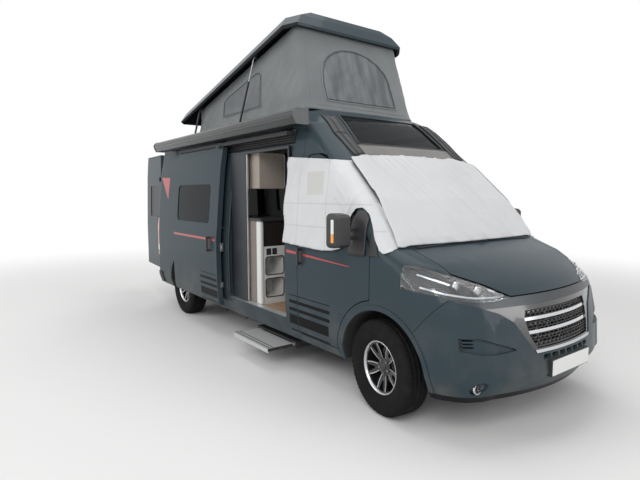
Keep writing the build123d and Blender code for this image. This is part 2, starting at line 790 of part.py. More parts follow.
def rim(centre_x, centre_y, side):
    """An alloy rim: barrel, hub and five forked spokes."""
    with BuildPart() as piece:
        add(turned(rim_profile, centre_x, centre_y, side))
        with BuildSketch(Plane.XZ.offset(-centre_y)):
            for turn, near, far, near_angle, far_angle in spoke_windows:
                for count in range(5):
                    middle = turn + 72 * count + 90
                    corners = [
                        (near, -near_angle), (far, -far_angle), (far + 4, 0), (far, far_angle), (near, near_angle),
                    ]
                    points = []
                    for reach, angle in corners:
                        turned_to = math.radians(middle + angle)
                        points.append((centre_x + reach * math.cos(turned_to), axle_z + reach * math.sin(turned_to)))
                    with BuildLine():
                        Polyline(*points, close=True)
                    make_face()
        extrude(amount=-side * 100, mode=Mode.SUBTRACT)
    return piece.part


corners = {
    # name: axle, side, track
    "front_left": (front_axle_x, 1, track_front),
    "front_right": (front_axle_x, -1, track_front),
    "rear_left": (rear_axle_x, 1, track_rear),
    "rear_right": (rear_axle_x, -1, track_rear),
}
for place, (axle_x, side, track) in corners.items():
    rubber = turned(tyre_profile, axle_x, side * track / 2, side)
    metal = rim(axle_x, side * track / 2, side)
    if place.startswith("front"):
        rubber = rubber.rotate(knuckle_axes[side], steer_rest)
        metal = metal.rotate(knuckle_axes[side], steer_rest)
    write(rubber, f"tyre_{place}")
    write(metal, f"rim_{place}")

# Raised roof: a shallow shell on two rear arms and two gas struts. It is drawn lying
# flat, then turned about the arms' upper pivot to its raised place.
roof_tilt = 12.7
roof_half = 830
shell_wall = 28
arm_y = 752
arm_thickness = 14
arm_foot_d = 5010
arm_foot_z = 2535
arm_head_d = 4800
arm_head_z = 2880
head_above_rim = 30
shell_front_reach = 2395
shell_rear_reach = 605
chamfer_x = 120
chamfer_y = 110
head = (aft(arm_head_d), arm_head_z)
foot = (aft(arm_foot_d), arm_foot_z)
rim_z = arm_head_z - head_above_rim
tilt_axis = Axis((head[0], 0, head[1]), (0, -1, 0))
shell_rows = [
    # height above the rim, and how far the front, the sides and the back are drawn in
    (0, 12, 12, 12),
    (24, 0, 0, 0),
    (138, 34, 80, 50),
    (205, 60, 230, 110),
]
hollow_rows = [
    (-1, shell_wall, shell_wall, shell_wall),
    (40, shell_wall, shell_wall, shell_wall),
    (138 - shell_wall, 34 + shell_wall, 80 + shell_wall, 50 + shell_wall),
    (205 - shell_wall, 70 + shell_wall, 240 + shell_wall, 120 + shell_wall),
]

# Gas struts: thick tube below, thin rod above, opened at the rod's eye
strut_y = 775
strut_foot = (aft(3617), 2540)
strut_eye = (aft(3250), 3221)
strut_radius = 12
rod_radius = 5
tube_length = 500
strut_span = math.dist(strut_foot, strut_eye)
strut_turn = math.atan2(strut_eye[1] - strut_foot[1], strut_eye[0] - strut_foot[0])

# Lugs under the shell and brackets on the roof stand inboard of the arms and struts
arm_lug_y = arm_y - 28
arm_bracket_y = arm_y - 19
strut_lug_y = strut_y - 33
strut_bracket_y = strut_y - 30
fitting_thickness = 12


def shell_outline(row):
    """The raised roof's plan with bevelled front corners, at one height."""
    height, front_inset, side_inset, back_inset = row
    front = head[0] + shell_front_reach - front_inset
    back = head[0] - shell_rear_reach + back_inset
    half = roof_half - side_inset
    with BuildSketch(Plane.XY.offset(rim_z + height)) as outline:
        with BuildLine():
            Polyline((back, -half + 40), (back + 40, -half), (front - chamfer_x, -half),
                     (front, -half + chamfer_y), (front, half - chamfer_y), (front - chamfer_x, half),
                     (back + 40, half), (back, half - 40), close=True)
        make_face()
    return outline.sketch


def lug(side, pivot, near_y, radius, height, hole):
    """A plate beside a pivot that runs up or down from it."""
    low, high = sorted((side * near_y, side * (near_y + fitting_thickness)))
    with BuildPart() as plate:
        with BuildSketch(Plane.XZ.offset(-high)):
            with Locations(pivot):
                Circle(radius)
            with Locations((pivot[0], pivot[1] + height / 2)):
                Rectangle(2 * radius, abs(height))
            with Locations(pivot):
                Circle(hole, mode=Mode.SUBTRACT)
        extrude(amount=high - low)
    return plate.part


with BuildPart() as pop_roof_flat:
    for row in shell_rows:
        add(shell_outline(row))
    loft(ruled=True)
    with BuildPart(mode=Mode.PRIVATE) as dish:
        for row in hollow_rows:
            add(shell_outline(row))
        loft(ruled=True)
    add(dish.part, mode=Mode.SUBTRACT)
with BuildPart() as pop_roof:
    add(pop_roof_flat.part.rotate(tilt_axis, roof_tilt))
with BuildPart() as arm_lugs:
    for side in (1, -1):
        add(lug(side, head, arm_lug_y, 22, 90, 7))
    add(pop_roof_flat.part, mode=Mode.SUBTRACT)
with BuildPart() as roof_lugs:
    add(arm_lugs.part.rotate(tilt_axis, roof_tilt))
    for side in (1, -1):
        add(lug(side, strut_eye, strut_lug_y, 20, 90, 5))
    add(pop_roof.part, mode=Mode.SUBTRACT)

pin_radius = 6.5
with BuildPart() as roof_arms:
    for side in (1, -1):
        with BuildSketch(Plane.XZ.offset(-side * arm_y)):
            SlotCenterPoint(((foot[0] + head[0]) / 2, (foot[1] + head[1]) / 2), head, 34)
        extrude(amount=-side * arm_thickness)
        for pivot, reach in ((foot, arm_bracket_y - 5), (head, arm_lug_y - 5)):
            add(disc_region(pivot[0], pivot[1], pin_radius, side * reach, side * (arm_y + arm_thickness)))


def strut_plane(side, along):
    """A plane square to the strut, this far up from its foot."""
    run, rise = math.cos(strut_turn), math.sin(strut_turn)
    origin = (strut_foot[0] + along * run, side * strut_y, strut_foot[1] + along * rise)
    return Plane(origin=origin, x_dir=(0, 1, 0), z_dir=(run, 0, rise))


with BuildPart() as strut_tubes:
    for side in (1, -1):
        with BuildSketch(strut_plane(side, 14)):
            Circle(strut_radius)
            Circle(rod_radius + 0.5, mode=Mode.SUBTRACT)
        extrude(amount=tube_length - 14)
        add(disc_region(strut_foot[0], strut_foot[1], 16, side * (strut_y - 6), side * (strut_y + 6)))
        add(disc_region(strut_foot[0], strut_foot[1], 4, side * (strut_bracket_y - 5), side * strut_y))

rod_length = 290
rod_start = strut_span - 12 - rod_length
with BuildPart() as strut_rods:
    for side in (1, -1):
        with BuildSketch(strut_plane(side, rod_start)):
            Circle(rod_radius)
        extrude(amount=rod_length)
        add(disc_region(strut_eye[0], strut_eye[1], 14, side * (strut_y - 6), side * (strut_y + 6)))
        add(disc_region(strut_eye[0], strut_eye[1], 5, side * (strut_y - 7), side * (strut_y + 7)),
            mode=Mode.SUBTRACT)

# Roof fittings that carry the arms and struts, seated on the high roof
with BuildPart() as roof_brackets:
    for side in (1, -1):
        add(lug(side, foot, arm_bracket_y, 24, -140, pin_radius + 0.5))
        add(lug(side, strut_foot, strut_bracket_y, 20, -140, 4.5))
    add(outer, mode=Mode.SUBTRACT)

# Tent cloth between the high roof and the raised shell
canvas_front_d = 2300
canvas_top_d = 2480
canvas_rear_d = 4960
canvas_half = 715
canvas_wall = 6
canvas_foot_z = roof_crown_z + 3
canvas_drop = 12


def under_shell(distance):
    """Height of the raised shell's rim plane at a distance."""
    tilt = math.radians(roof_tilt)
    return arm_head_z - head_above_rim / math.cos(tilt) + (arm_head_d - distance) * math.tan(tilt)


with BuildPart() as roof_canvas:
    for inset, extra, how in ((0, 0, Mode.ADD), (canvas_wall, 10, Mode.SUBTRACT)):
        with BuildSketch(Plane.XZ.offset(-canvas_half + inset)):
            with BuildLine():
                Polyline(
                    (aft(canvas_front_d + inset), canvas_foot_z - extra),
                    (aft(canvas_top_d + inset), under_shell(canvas_top_d) - canvas_drop + extra),
                    (aft(canvas_rear_d - inset), under_shell(canvas_rear_d) - canvas_drop + extra),
                    (aft(canvas_rear_d - inset), canvas_foot_z - extra),
                    close=True,
                )
            make_face()
        extrude(amount=2 * (canvas_half - inset), mode=how)

# Awning case along the right gutter, with end caps and brackets
awning_front_d = 1905
awning_rear_d = 5620
awning_cap = 40
awning_back_y = -988


def awning_length(d_from, d_to, margin):
    """A length of the awning's case, drawn out by a margin."""
    with BuildPart() as case:
        with BuildSketch(Plane.YZ.offset(aft(d_to))):
            with BuildLine():
                Line((awning_back_y, 2318 - margin), (awning_back_y, 2452 + margin))
                Line((awning_back_y, 2452 + margin), (-1085, 2452 + margin))
                ThreePointArc((-1085, 2452 + margin), (-1142 - margin, 2425), (-1146 - margin, 2370))
                Line((-1146 - margin, 2370), (-1120 - margin, 2318 - margin))
                Line((-1120 - margin, 2318 - margin), (awning_back_y, 2318 - margin))
            make_face()
        extrude(amount=d_to - d_from)
    return case.part


with BuildPart() as awning:
    add(awning_length(awning_front_d + awning_cap, awning_rear_d - awning_cap, 0))
    add(awning_length(awning_front_d, awning_front_d + awning_cap, 3))
    add(awning_length(awning_rear_d - awning_cap, awning_rear_d, 3))
    for distance in (2300, 3760, 5300):
        add(box_region(distance, distance + 120, awning_back_y - 2, -860, 2322, 2350))
    add(outer, mode=Mode.SUBTRACT)

with BuildPart() as door_rails:
    add(box_region(2230, rail_rear_d, -1010, -880, top_rail_z, top_rail_z + top_rail_height))
    add(box_region(rail_front_d, rail_rear_d, -rail_out_y, -980, rail_z_low, rail_z_high))
    add(outer, mode=Mode.SUBTRACT)

# Entry step that slides out from below the door
step_front_d = 2235
step_rear_d = 2965
step_reach_y = -1232
step_z = 205
step_plate = 26
step_inner_y = -935
step_lip = 14
with BuildPart() as step_tread:
    add(box_region(step_front_d + 10, step_rear_d - 10, step_reach_y, step_inner_y, step_z, step_z + step_plate))
    add(box_region(step_front_d + 10, step_rear_d - 10, step_reach_y, step_reach_y + 12, step_z - step_lip, step_z + 1))
    for low in (step_front_d + 16, step_rear_d - 46):
        add(box_region(low, low + 30, step_inner_y - 1, -560, step_z + 4, step_z + 22))
with BuildPart() as step_housing:
    add(box_region(step_front_d - 16, step_rear_d + 16, -925, -540, step_z - 20, step_z + step_plate + 20))
    add(box_region(step_front_d, step_rear_d, -926, -530, step_z - 8, step_z + step_plate + 8),
        mode=Mode.SUBTRACT)
    for low in (step_front_d + 30, step_rear_d - 90):
        add(box_region(low, low + 60, -700, -640, step_z + step_plate + 19, floor_bottom_z))

# Mirrors on the cab doors: a foot on the door, two arms and a bulged case with its glass
mirror_inner_y = 1095
mirror_out_y = 1254
mirror_z_low = 1286
mirror_z_high = 1556
mirror_front_d = 1165
mirror_rear_d = 1300
mirror_mid = ((mirror_inner_y + mirror_out_y) / 2, (mirror_z_low + mirror_z_high) / 2)
mirror_width = mirror_out_y - mirror_inner_y
mirror_height = mirror_z_high - mirror_z_low
mirror_foot = [(1128, 1340), (1252, 1340), (1252, 1482)]
mirror_arms = (1348, 1412)
mirror_rows = [
    # distance, and how far the case is drawn in there
    (mirror_front_d, 30),
    (mirror_front_d + 26, 9),
    (mirror_rear_d - 40, 0),
    (mirror_rear_d, 0),
]
with BuildPart() as mirror_left:
    for distance, inset in mirror_rows:
        with BuildSketch(Plane.YZ.offset(aft(distance))):
            with Locations(mirror_mid):
                RectangleRounded(mirror_width - 2 * inset, mirror_height - 2 * inset, 40 - inset)
    loft(ruled=True)
    with BuildSketch(Plane.YZ.offset(aft(mirror_rear_d))):
        with Locations(mirror_mid):
            RectangleRounded(mirror_width - 16, mirror_height - 16, 32)
    extrude(amount=8, mode=Mode.SUBTRACT)
    for z in mirror_arms:
        add(box_region(1208, 1248, 985, mirror_inner_y + 20, z, z + 24))
    add(xz_region(mirror_foot, 985, 1016))
    add(outer, mode=Mode.SUBTRACT)
mirror_right = mirror_left.part.mirror(Plane.XZ)

# Windscreen cover: the front sheet on the pillars, and a flap over each cab door
cover_gap = 7
cover_thickness = 10
with BuildPart() as cover_sheet:
    add(body_volume(-cover_gap - cover_thickness, slices))
    add(body_volume(-cover_gap, slices), mode=Mode.SUBTRACT)
cover_front_outline = [(0, 1330), (905, 1330), (905, 1400), (850, 2010), (790, 2045), (0, 2085)]
flap_outline = [
    (1640, 1215), (1600, 1215), (1350, 1330), (1290, 1400), (1290, 1570), (1420, 1730), (1600, 1960),
    (1660, 1996), (2172, 2035), (2268, 1249),
]
with BuildPart() as screen_cover:
    add(cover_sheet.part)
    add(front_region(cover_front_outline, 700, 1640), mode=Mode.INTERSECT)
with BuildPart() as cover_flap_left:
    add(cover_sheet.part)
    add(xz_region(flap_outline, 500, half_y), mode=Mode.INTERSECT)

# Cab and living fittings seen through the doors and glass
dashboard_outline = [
    (wing_rail_rear_d, 860), (wing_rail_rear_d, 1200), (1120, 1240), (1300, 1190), (1340, 900), (1200, 800),
]
with BuildPart() as dashboard:
    add(xz_region(dashboard_outline, -840, 840))

seat_outline = [
    # one seat from the side: pedestal, cushion, backrest and headrest
    (1620, floor_top), (1620, 850), (1560, 862), (1552, 960), (1580, 1006), (1960, 985), (2060, 1540),
    (2050, 1600), (2062, 1720), (2090, 1770), (2140, 1770), (2160, 1720), (2150, 1600), (2165, 1560),
    (2080, 940), (2010, 850), (2010, floor_top),
]
with BuildPart() as cab_seats:
    for side in (1, -1):
        low, high = sorted((side * 250, side * 760))
        add(xz_region(seat_outline, low, high))
        for near, far in ((230, 370), (640, 780)):
            add(side_box(side, 2000, 2200, near, far, 1590, 1800), mode=Mode.SUBTRACT)

kitchen_front_d = 2880
kitchen_rear_d = 4100
kitchen_far_y = -430
kitchen_near_y = -930
kitchen_top_z = 1410
recess_far_y = -640
recess_near_y = -870
kitchen_recesses = [
    # heights of the open shelves on its forward end
    (575, 780),
    (820, 1020),
]
with BuildPart() as kitchen_unit:
    add(box_region(kitchen_front_d, kitchen_rear_d, kitchen_near_y, kitchen_far_y, floor_top, kitchen_top_z))
    add(box_region(kitchen_front_d - 20, kitchen_rear_d + 20, kitchen_near_y, kitchen_far_y + 20,
                   kitchen_top_z, kitchen_top_z + 30))
    for z_from, z_to in kitchen_recesses:
        add(box_region(kitchen_front_d - 1, kitchen_front_d + 250, recess_near_y, recess_far_y, z_from, z_to),
            mode=Mode.SUBTRACT)

with BuildPart() as rear_bed:
    add(box_region(4200, 5840, -890, 890, 1010, 1060))
    add(box_region(4210, 5830, -880, 880, 1060, 1180))
    for side in (1, -1):
        add(side_box(side, 4300, 5800, 480, 540, floor_top, 1010))

with BuildPart() as rear_bumper:
    add(body_volume(-14, slices[:3]))
    add(box_region(length - 200, length + 40, -half_y, half_y, 330, rear_sill_z - 2), mode=Mode.INTERSECT)
    add(inner, mode=Mode.SUBTRACT)

rear_door_right = rear_door_left.part.mirror(Plane.XZ).rotate(rear_hinge_right, rear_door_open)
rear_window_right = rear_window_left.mirror(Plane.XZ).rotate(rear_hinge_right, rear_door_open)
pieces = {
    "roof_panel": roof_panel.part,
    "side_left": side_left.part,
    "side_right": side_right.part,
    "cab_frame": cab_frame.part,
    "front_wings": front_wings,
    "front_bumper": front_bumper.part,
    "grille": grille.part,
    "nose_band": nose_band.part,
    "grille_bars": grille_bars.part,
    "headlamps": headlamps,
    "headlamp_bowls": headlamp_bowls,
    "tail_lamps": tail_lamps,
    "rear_bumper": rear_bumper.part,
    "windows": windows.part,
    "sliding_door": sliding_door.part,
    "door_rails": door_rails.part,
    "awning": awning.part,
    "underbody": underbody.part,
    "wheel_liners": wheel_liners.part,
    "engine_block": engine_block.part,
    "front_frame": front_frame.part,
    "front_subframe": front_subframe.part,
    "rear_axle": rear_axle.part,
    "roof_brackets": roof_brackets.part,
    "roof_canvas": roof_canvas.part,
    "screen_cover": screen_cover.part,
    "dashboard": dashboard.part,
    "cab_seats": cab_seats.part,
    "kitchen_unit": kitchen_unit.part,
    "rear_bed": rear_bed.part,
    "step_housing": step_housing.part,
    "step_tread": step_tread.part,
    "bonnet": bonnet.part,
    "cab_door_left": cab_door_left.part,
    "cab_door_right": cab_door_left.part.mirror(Plane.XZ),
    "cab_window_left": cab_window_left,
    "cab_window_right": cab_window_left.mirror(Plane.XZ),
    "mirror_left": mirror_left.part,
    "mirror_right": mirror_right,
    "cover_flap_left": cover_flap_left.part,
    "cover_flap_right": cover_flap_left.part.mirror(Plane.XZ),
    "rear_door_left": rear_door_left.part,
    "rear_door_right": rear_door_right,
    "rear_window_left": rear_window_left,
    "rear_window_right": rear_window_right,
    "pop_roof": pop_roof.part,
    "roof_lugs": roof_lugs.part,
    "roof_arms": roof_arms.part,
    "strut_tubes": strut_tubes.part,
    "strut_rods": strut_rods.part,
    "knuckle_left": knuckle(1),
    "knuckle_right": knuckle(-1),
}
for name, piece in pieces.items():
    write(piece, name)
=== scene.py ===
"""A high-roof camper van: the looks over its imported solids."""
import math

import bmesh
import bpy
from mathutils import Matrix, Vector, noise
from mathutils.bvhtree import BVHTree


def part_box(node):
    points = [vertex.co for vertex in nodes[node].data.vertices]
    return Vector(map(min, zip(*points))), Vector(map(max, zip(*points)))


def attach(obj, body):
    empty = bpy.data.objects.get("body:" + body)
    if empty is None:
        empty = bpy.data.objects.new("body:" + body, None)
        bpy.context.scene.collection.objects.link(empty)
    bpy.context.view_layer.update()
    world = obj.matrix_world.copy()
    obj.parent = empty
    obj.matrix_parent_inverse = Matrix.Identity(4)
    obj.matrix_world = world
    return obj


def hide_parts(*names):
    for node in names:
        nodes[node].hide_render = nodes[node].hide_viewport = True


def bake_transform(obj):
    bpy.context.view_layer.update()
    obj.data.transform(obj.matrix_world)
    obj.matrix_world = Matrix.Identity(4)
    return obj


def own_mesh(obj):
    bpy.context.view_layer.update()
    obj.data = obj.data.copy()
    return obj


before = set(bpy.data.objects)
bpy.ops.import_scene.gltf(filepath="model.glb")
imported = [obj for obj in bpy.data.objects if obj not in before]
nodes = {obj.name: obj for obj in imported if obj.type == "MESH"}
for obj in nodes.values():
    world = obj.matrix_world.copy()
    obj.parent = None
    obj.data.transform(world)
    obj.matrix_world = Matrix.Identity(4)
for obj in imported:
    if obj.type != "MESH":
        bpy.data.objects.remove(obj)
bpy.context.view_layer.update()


class Wire:
    """One socket of a shader tree. Operators add math nodes, and make() adds any other node."""

    def __init__(self, tree, socket=None):
        self.tree = tree
        self.socket = socket

    def make(self, kind, out=0, put=(), **settings):
        """A new node with its settings and inputs; one of its outputs comes back."""
        node = self.tree.nodes.new(kind)
        for name, value in settings.items():
            setattr(node, name, value)
        for name, value in dict(put).items():
            if isinstance(value, Wire):
                self.tree.links.new(value.socket, node.inputs[name])
            else:
                node.inputs[name].default_value = value
        return Wire(self.tree, node.outputs[out])

    def maths(self, how, *values):
        """A math node of these values, or of this one alone where none are given."""
        return self.make("ShaderNodeMath", put=enumerate(values or (self,)), operation=how)

    def __add__(self, other):
        return self.maths("ADD", self, other)

    def __radd__(self, other):
        return self.maths("ADD", other, self)

    def __sub__(self, other):
        return self.maths("SUBTRACT", self, other)

    def __rsub__(self, other):
        return self.maths("SUBTRACT", other, self)

    def __mul__(self, other):
        return self.maths("MULTIPLY", self, other)

    def __rmul__(self, other):
        return self.maths("MULTIPLY", other, self)

    def __truediv__(self, other):
        return self.maths("DIVIDE", self, other)

    def __rtruediv__(self, other):
        return self.maths("DIVIDE", other, self)

    def __gt__(self, other):
        return self.maths("GREATER_THAN", self, other)

    def __lt__(self, other):
        return self.maths("LESS_THAN", self, other)

    def near(self, value, reach):
        """1 where this is within a reach of a value, else 0."""
        return self.maths("COMPARE", self, value, reach)

    def ramp(self, low, high):
        """0 below the low value, 1 above the high one, smooth between them."""
        put = {"Value": self, "From Min": low, "From Max": high}
        return self.make("ShaderNodeMapRange", put=put, interpolation_type="SMOOTHSTEP")

    def mix(self, colour_a, colour_b):
        """Colour a where this is 0 and colour b where it is 1."""
        put = {"Factor": self, 6: colour_a, 7: colour_b}
        return self.make("ShaderNodeMix", out=2, put=put, data_type="RGBA")

    def scaled(self, factor):
        """This vector stretched by a number or by three numbers."""
        factor = factor if isinstance(factor, tuple) else (factor, factor, factor)
        return self.make("ShaderNodeVectorMath", put={0: self, 1: factor}, operation="MULTIPLY")

    def parts(self):
        """The X, Y and Z of this vector."""
        split = self.make("ShaderNodeSeparateXYZ", put={0: self}).socket.node
        return [Wire(self.tree, socket) for socket in split.outputs]

    def place(self):
        """Where a point of the object is, in metres."""
        return self.make("ShaderNodeTexCoord", out="Object")

    def facing(self):
        """The object's own normal."""
        return self.make("ShaderNodeTexCoord", out="Normal")

    def noise(self, scale, detail=2.0):
        """A cloud of noise over this place."""
        put = {"Vector": self, "Scale": scale, "Detail": detail}
        return self.make("ShaderNodeTexNoise", put=put)

    def wave(self, scale, way="X"):
        """Even bands across one axis."""
        return self.make("ShaderNodeTexWave", put={"Vector": self, "Scale": scale}, bands_direction=way)

    def bump(self, strength, distance):
        """A normal bent by this height."""
        put = {"Height": self, "Strength": strength, "Distance": distance}
        return self.make("ShaderNodeBump", put=put)

    def feed(self, name):
        """Send this to an input of the material's Principled shader."""
        shader = self.tree.nodes["Principled BSDF"]
        self.tree.links.new(self.socket, shader.inputs[name])

    def tint(self, colour_a, colour_b):
        """Feed the base colour: a where this is 0 and b where it is 1."""
        self.mix((*colour_a, 1), (*colour_b, 1)).feed("Base Color")

    def grain(self, scale, strength, distance, detail=2.0):
        """Feed the normal with a fine noise."""
        self.place().noise(scale, detail).bump(strength, distance).feed("Normal")


def surface(name, colour, roughness, **more):
    """A new material; its constants sit on the Principled shader, and its tree comes back too."""
    mat = bpy.data.materials.new(name)
    mat.use_nodes = True
    shader = mat.node_tree.nodes["Principled BSDF"]
    shader.inputs["Base Color"].default_value = (*colour, 1)
    shader.inputs["Roughness"].default_value = roughness
    for key, value in more.items():
        shader.inputs[key.replace("_", " ").title().replace("Ior", "IOR")].default_value = value
    return mat, Wire(mat.node_tree)


def dress(mat, *names):
    """Give a material to CAD nodes."""
    for name in names:
        nodes[name].data.materials.clear()
        nodes[name].data.materials.append(mat)


def soft_edges(threshold):
    """Node group that welds a CAD mesh and shades it smooth over shallow creases."""
    group = bpy.data.node_groups.new("soft edges", "GeometryNodeTree")
    group.interface.new_socket("Geometry", in_out="INPUT", socket_type="NodeSocketGeometry")
    group.interface.new_socket("Geometry", in_out="OUTPUT", socket_type="NodeSocketGeometry")
    made = {}
    chain = ("NodeGroupInput", "GeometryNodeRemoveAttribute", "GeometryNodeMergeByDistance",
             "GeometryNodeSetShadeSmooth", "NodeGroupOutput")
    for before, kind in zip((None,) + chain, chain):
        made[kind] = group.nodes.new(kind)
        if before:
            group.links.new(made[before].outputs[0], made[kind].inputs[0])
    made["GeometryNodeRemoveAttribute"].inputs["Name"].default_value = "custom_normal"
    made["GeometryNodeMergeByDistance"].inputs["Distance"].default_value = 0.00005
    smooth = made["GeometryNodeSetShadeSmooth"]
    smooth.domain = "EDGE"
    angle = group.nodes.new("GeometryNodeInputMeshEdgeAngle")
    shallow = group.nodes.new("FunctionNodeCompare")
    shallow.operation = "LESS_THAN"
    shallow.inputs[1].default_value = threshold
    group.links.new(angle.outputs[0], shallow.inputs[0])
    group.links.new(shallow.outputs[0], smooth.inputs["Shade Smooth"])
    return group


softener = soft_edges(math.radians(31))
for node in nodes.values():
    node.modifiers.new("soft edges", "NODES").node_group = softener

PAINT = (0.038, 0.057, 0.068, 1)
FELT = (0.30, 0.31, 0.32, 1)
TRIM = (0.035, 0.037, 0.04, 1)


def paint(name, inward, lining, lip=0.0):
    """Body paint outside, a lining where the surface faces this way, bare plastic below the lip."""
    mat, tree = surface(name, PAINT[:3], 0.34, coat_roughness=0.05, specular_ior_level=0.05)
    way = tree.make("ShaderNodeVectorMath", out="Value", put={0: tree.facing(), 1: inward},
                    operation="DOT_PRODUCT")
    inside = way > 0.35
    near_ground = 1 - tree.place().parts()[2].ramp(0.3, 1.0)
    dust = tree.place().noise(3.0, 6.0).ramp(0.35, 0.75) * near_ground * 0.5
    dusty = dust.mix(PAINT, (0.16, 0.15, 0.135, 1))
    low = tree.place().parts()[2] < lip
    low.mix(inside.mix(dusty, lining), (0.016, 0.016, 0.017, 1)).feed("Base Color")
    ((1 - inside) * (1 - low) * 0.15).feed("Coat Weight")
    (inside * 0.6 + dust * 0.3 + 0.3).feed("Roughness")
    return mat


dress(paint("paint left", (0, -1, 0), FELT), "side_left")
dress(paint("paint right", (0, 1, 0), FELT), "side_right", "sliding_door")
dress(paint("paint roof", (0, 0, -1), FELT), "roof_panel", "cab_frame")
dress(paint("paint door left", (0, -1, 0), TRIM), "cab_door_left")
dress(paint("paint door right", (0, 1, 0), TRIM), "cab_door_right")
dress(paint("paint rear left", (1, 0, 0), TRIM), "rear_door_left")
dress(paint("paint rear right", (0.07, 1, 0), TRIM), "rear_door_right")
dress(paint("paint front", (-1, 0, -0.3), PAINT), "bonnet", "front_wings")
dress(paint("paint bumper", (-1, 0, -0.3), PAINT, 0.335), "front_bumper")
dress(paint("paint pop roof", (0, 0, -1), TRIM), "pop_roof")

# Glass: dark tinted side and rear panes, a clear windscreen and skylight. Each pane is
# bonded into its opening.
# Places are given as distance behind the nose, left, and up, all in metres.
nose_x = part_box("front_bumper")[1][0]
glass, tree = surface("tinted glass", (0.008, 0.010, 0.012), 0.03, ior=1.5, specular_ior_level=0.08)
d_place = nose_x - tree.place().parts()[0]
(0.86 - (d_place < 2.3) * 0.35).feed("Alpha")
dress(glass, "windows", "rear_window_left", "rear_window_right", "cab_window_left", "cab_window_right")

# Plastics and metals: moulded black trim, bright bars and rods, painted chassis parts, felt
# wheel housings and cast metal. Their shapes are the van's solids.
black_plastic, tree = surface("black plastic", (0.022, 0.022, 0.024), 0.55)
tree.grain(900.0, 0.25, 0.0006)
dress(black_plastic, "rear_bumper", "door_rails", "mirror_left", "mirror_right", "step_housing",
      "strut_tubes", "headlamp_bowls")
dark_gloss, tree = surface("dark gloss", (0.012, 0.013, 0.014), 0.25, coat_weight=0.7,
                           coat_roughness=0.1)
dress(dark_gloss, "grille")
satin, tree = surface("satin dark band", (0.05, 0.055, 0.06), 0.38, metallic=0.6)
dress(satin, "nose_band")
chrome, tree = surface("bright trim", (0.62, 0.63, 0.65), 0.12, metallic=1.0)
dress(chrome, "grille_bars", "strut_rods")
steel, tree = surface("chassis paint", (0.03, 0.03, 0.032), 0.6, metallic=0.2)
(tree.place().noise(9.0, 8.0).ramp(0.55, 0.75) * 0.6).tint((0.03, 0.03, 0.032), (0.12, 0.075, 0.045))
dress(steel, "front_subframe", "front_frame", "rear_axle", "roof_brackets", "roof_arms",
      "roof_lugs")
liner_felt, tree = surface("wheel housing felt", (0.02, 0.02, 0.02), 0.95)
tree.grain(220.0, 0.5, 0.002, 4.0)
dress(liner_felt, "wheel_liners")
cast, tree = surface("cast metal", (0.16, 0.16, 0.165), 0.5, metallic=0.8)
tree.grain(60.0, 0.35, 0.002, 6.0)
dress(cast, "engine_block", "knuckle_left", "knuckle_right")

# Windscreen cover: a padded, silver-white sheet over the screen and both cab windows. Its
# front sheet and flaps are shaped over the van's skin, with slack folds.
def shell_of(*names):
    """A tree of these CAD nodes' faces for finding where their surface is."""
    points = []
    faces = []
    for name in names:
        mesh = nodes[name].data
        start = len(points)
        points += [v.co.copy() for v in mesh.vertices]
        faces += [[start + i for i in polygon.vertices] for polygon in mesh.polygons]
    return BVHTree.FromPolygons(points, faces)


def along(points, part):
    """The place this part of the way along a line of 2-D points."""
    spans = [math.dist(a, b) for a, b in zip(points, points[1:])]
    left = part * sum(spans)
    for (a, b), span in zip(zip(points, points[1:]), spans):
        if left <= span or b is points[-1]:
            share = min(left / span, 1.0)
            return a[0] + (b[0] - a[0]) * share, a[1] + (b[1] - a[1]) * share
        left -= span


def traced(line, count, place):
    """Even steps along a line of 2-D points, each put in place by a function."""
    return [place(*along(line, i / count)) for i in range(count + 1)]


def ruled(low, high, across, up):
    """A grid of 2-D points between a low line and a high one."""
    grid = []
    for j in range(up + 1):
        v = j / up
        row = []
        for i in range(across + 1):
            a, b = along(low, i / across), along(high, i / across)
            row.append((a[0] + (b[0] - a[0]) * v, a[1] + (b[1] - a[1]) * v))
        grid.append(row)
    return grid


def made(name, mesh, mat, body=None, centre=None):
    """A piece from a mesh in its material and place, riding on a body where one is given."""
    mesh.materials.append(mat)
    piece = bpy.data.objects.new(name, mesh)
    bpy.context.scene.collection.objects.link(piece)
    if centre:
        piece.matrix_world = centre
    if body:
        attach(piece, body)
    return piece


def cloth(name, rows, mat, body, closed=False):
    """A smooth grid mesh from rows of points, riding on a body; faces run round where closed."""
    across = len(rows[0])
    faces = []
    for j in range(len(rows) - 1):
        for i in range(across if closed else across - 1):
            k = (i + 1) % across
            faces.append((j * across + i, j * across + k, (j + 1) * across + k, (j + 1) * across + i))
    mesh = bpy.data.meshes.new(name)
    mesh.from_pydata([p for row in rows for p in row], [], faces)
    mesh.polygons.foreach_set("use_smooth", [True] * len(mesh.polygons))
    return made(name, mesh, mat, body)


def thick(piece, depth, offset=0.0):
    """Give a sheet its thickness."""
    solid = piece.modifiers.new("thickness", "SOLIDIFY")
    solid.thickness = depth
    solid.offset = offset
    return piece


def hem(name, paths, radius, mat, body):
    """Round beads, cords or tubes that follow these points, riding on a body."""
    curve = bpy.data.curves.new(name, "CURVE")
    curve.dimensions = "3D"
    curve.bevel_depth = radius
    curve.bevel_resolution = 2
    for path in paths:
        spline = curve.splines.new("POLY")
        spline.points.add(len(path) - 1)
        for point, place in zip(spline.points, path):
            point.co = (*place, 1)
    line = bpy.data.objects.new(name, curve)
    mesh = bpy.data.meshes.new_from_object(line)
    mesh.polygons.foreach_set("use_smooth", [True] * len(mesh.polygons))
    mesh.materials.clear()
    return made(name, mesh, mat, body)


def at(d, y, z):
    """A point from its distance behind the nose, its place to the left and its height."""
    return Vector((nose_x - d, y, z))


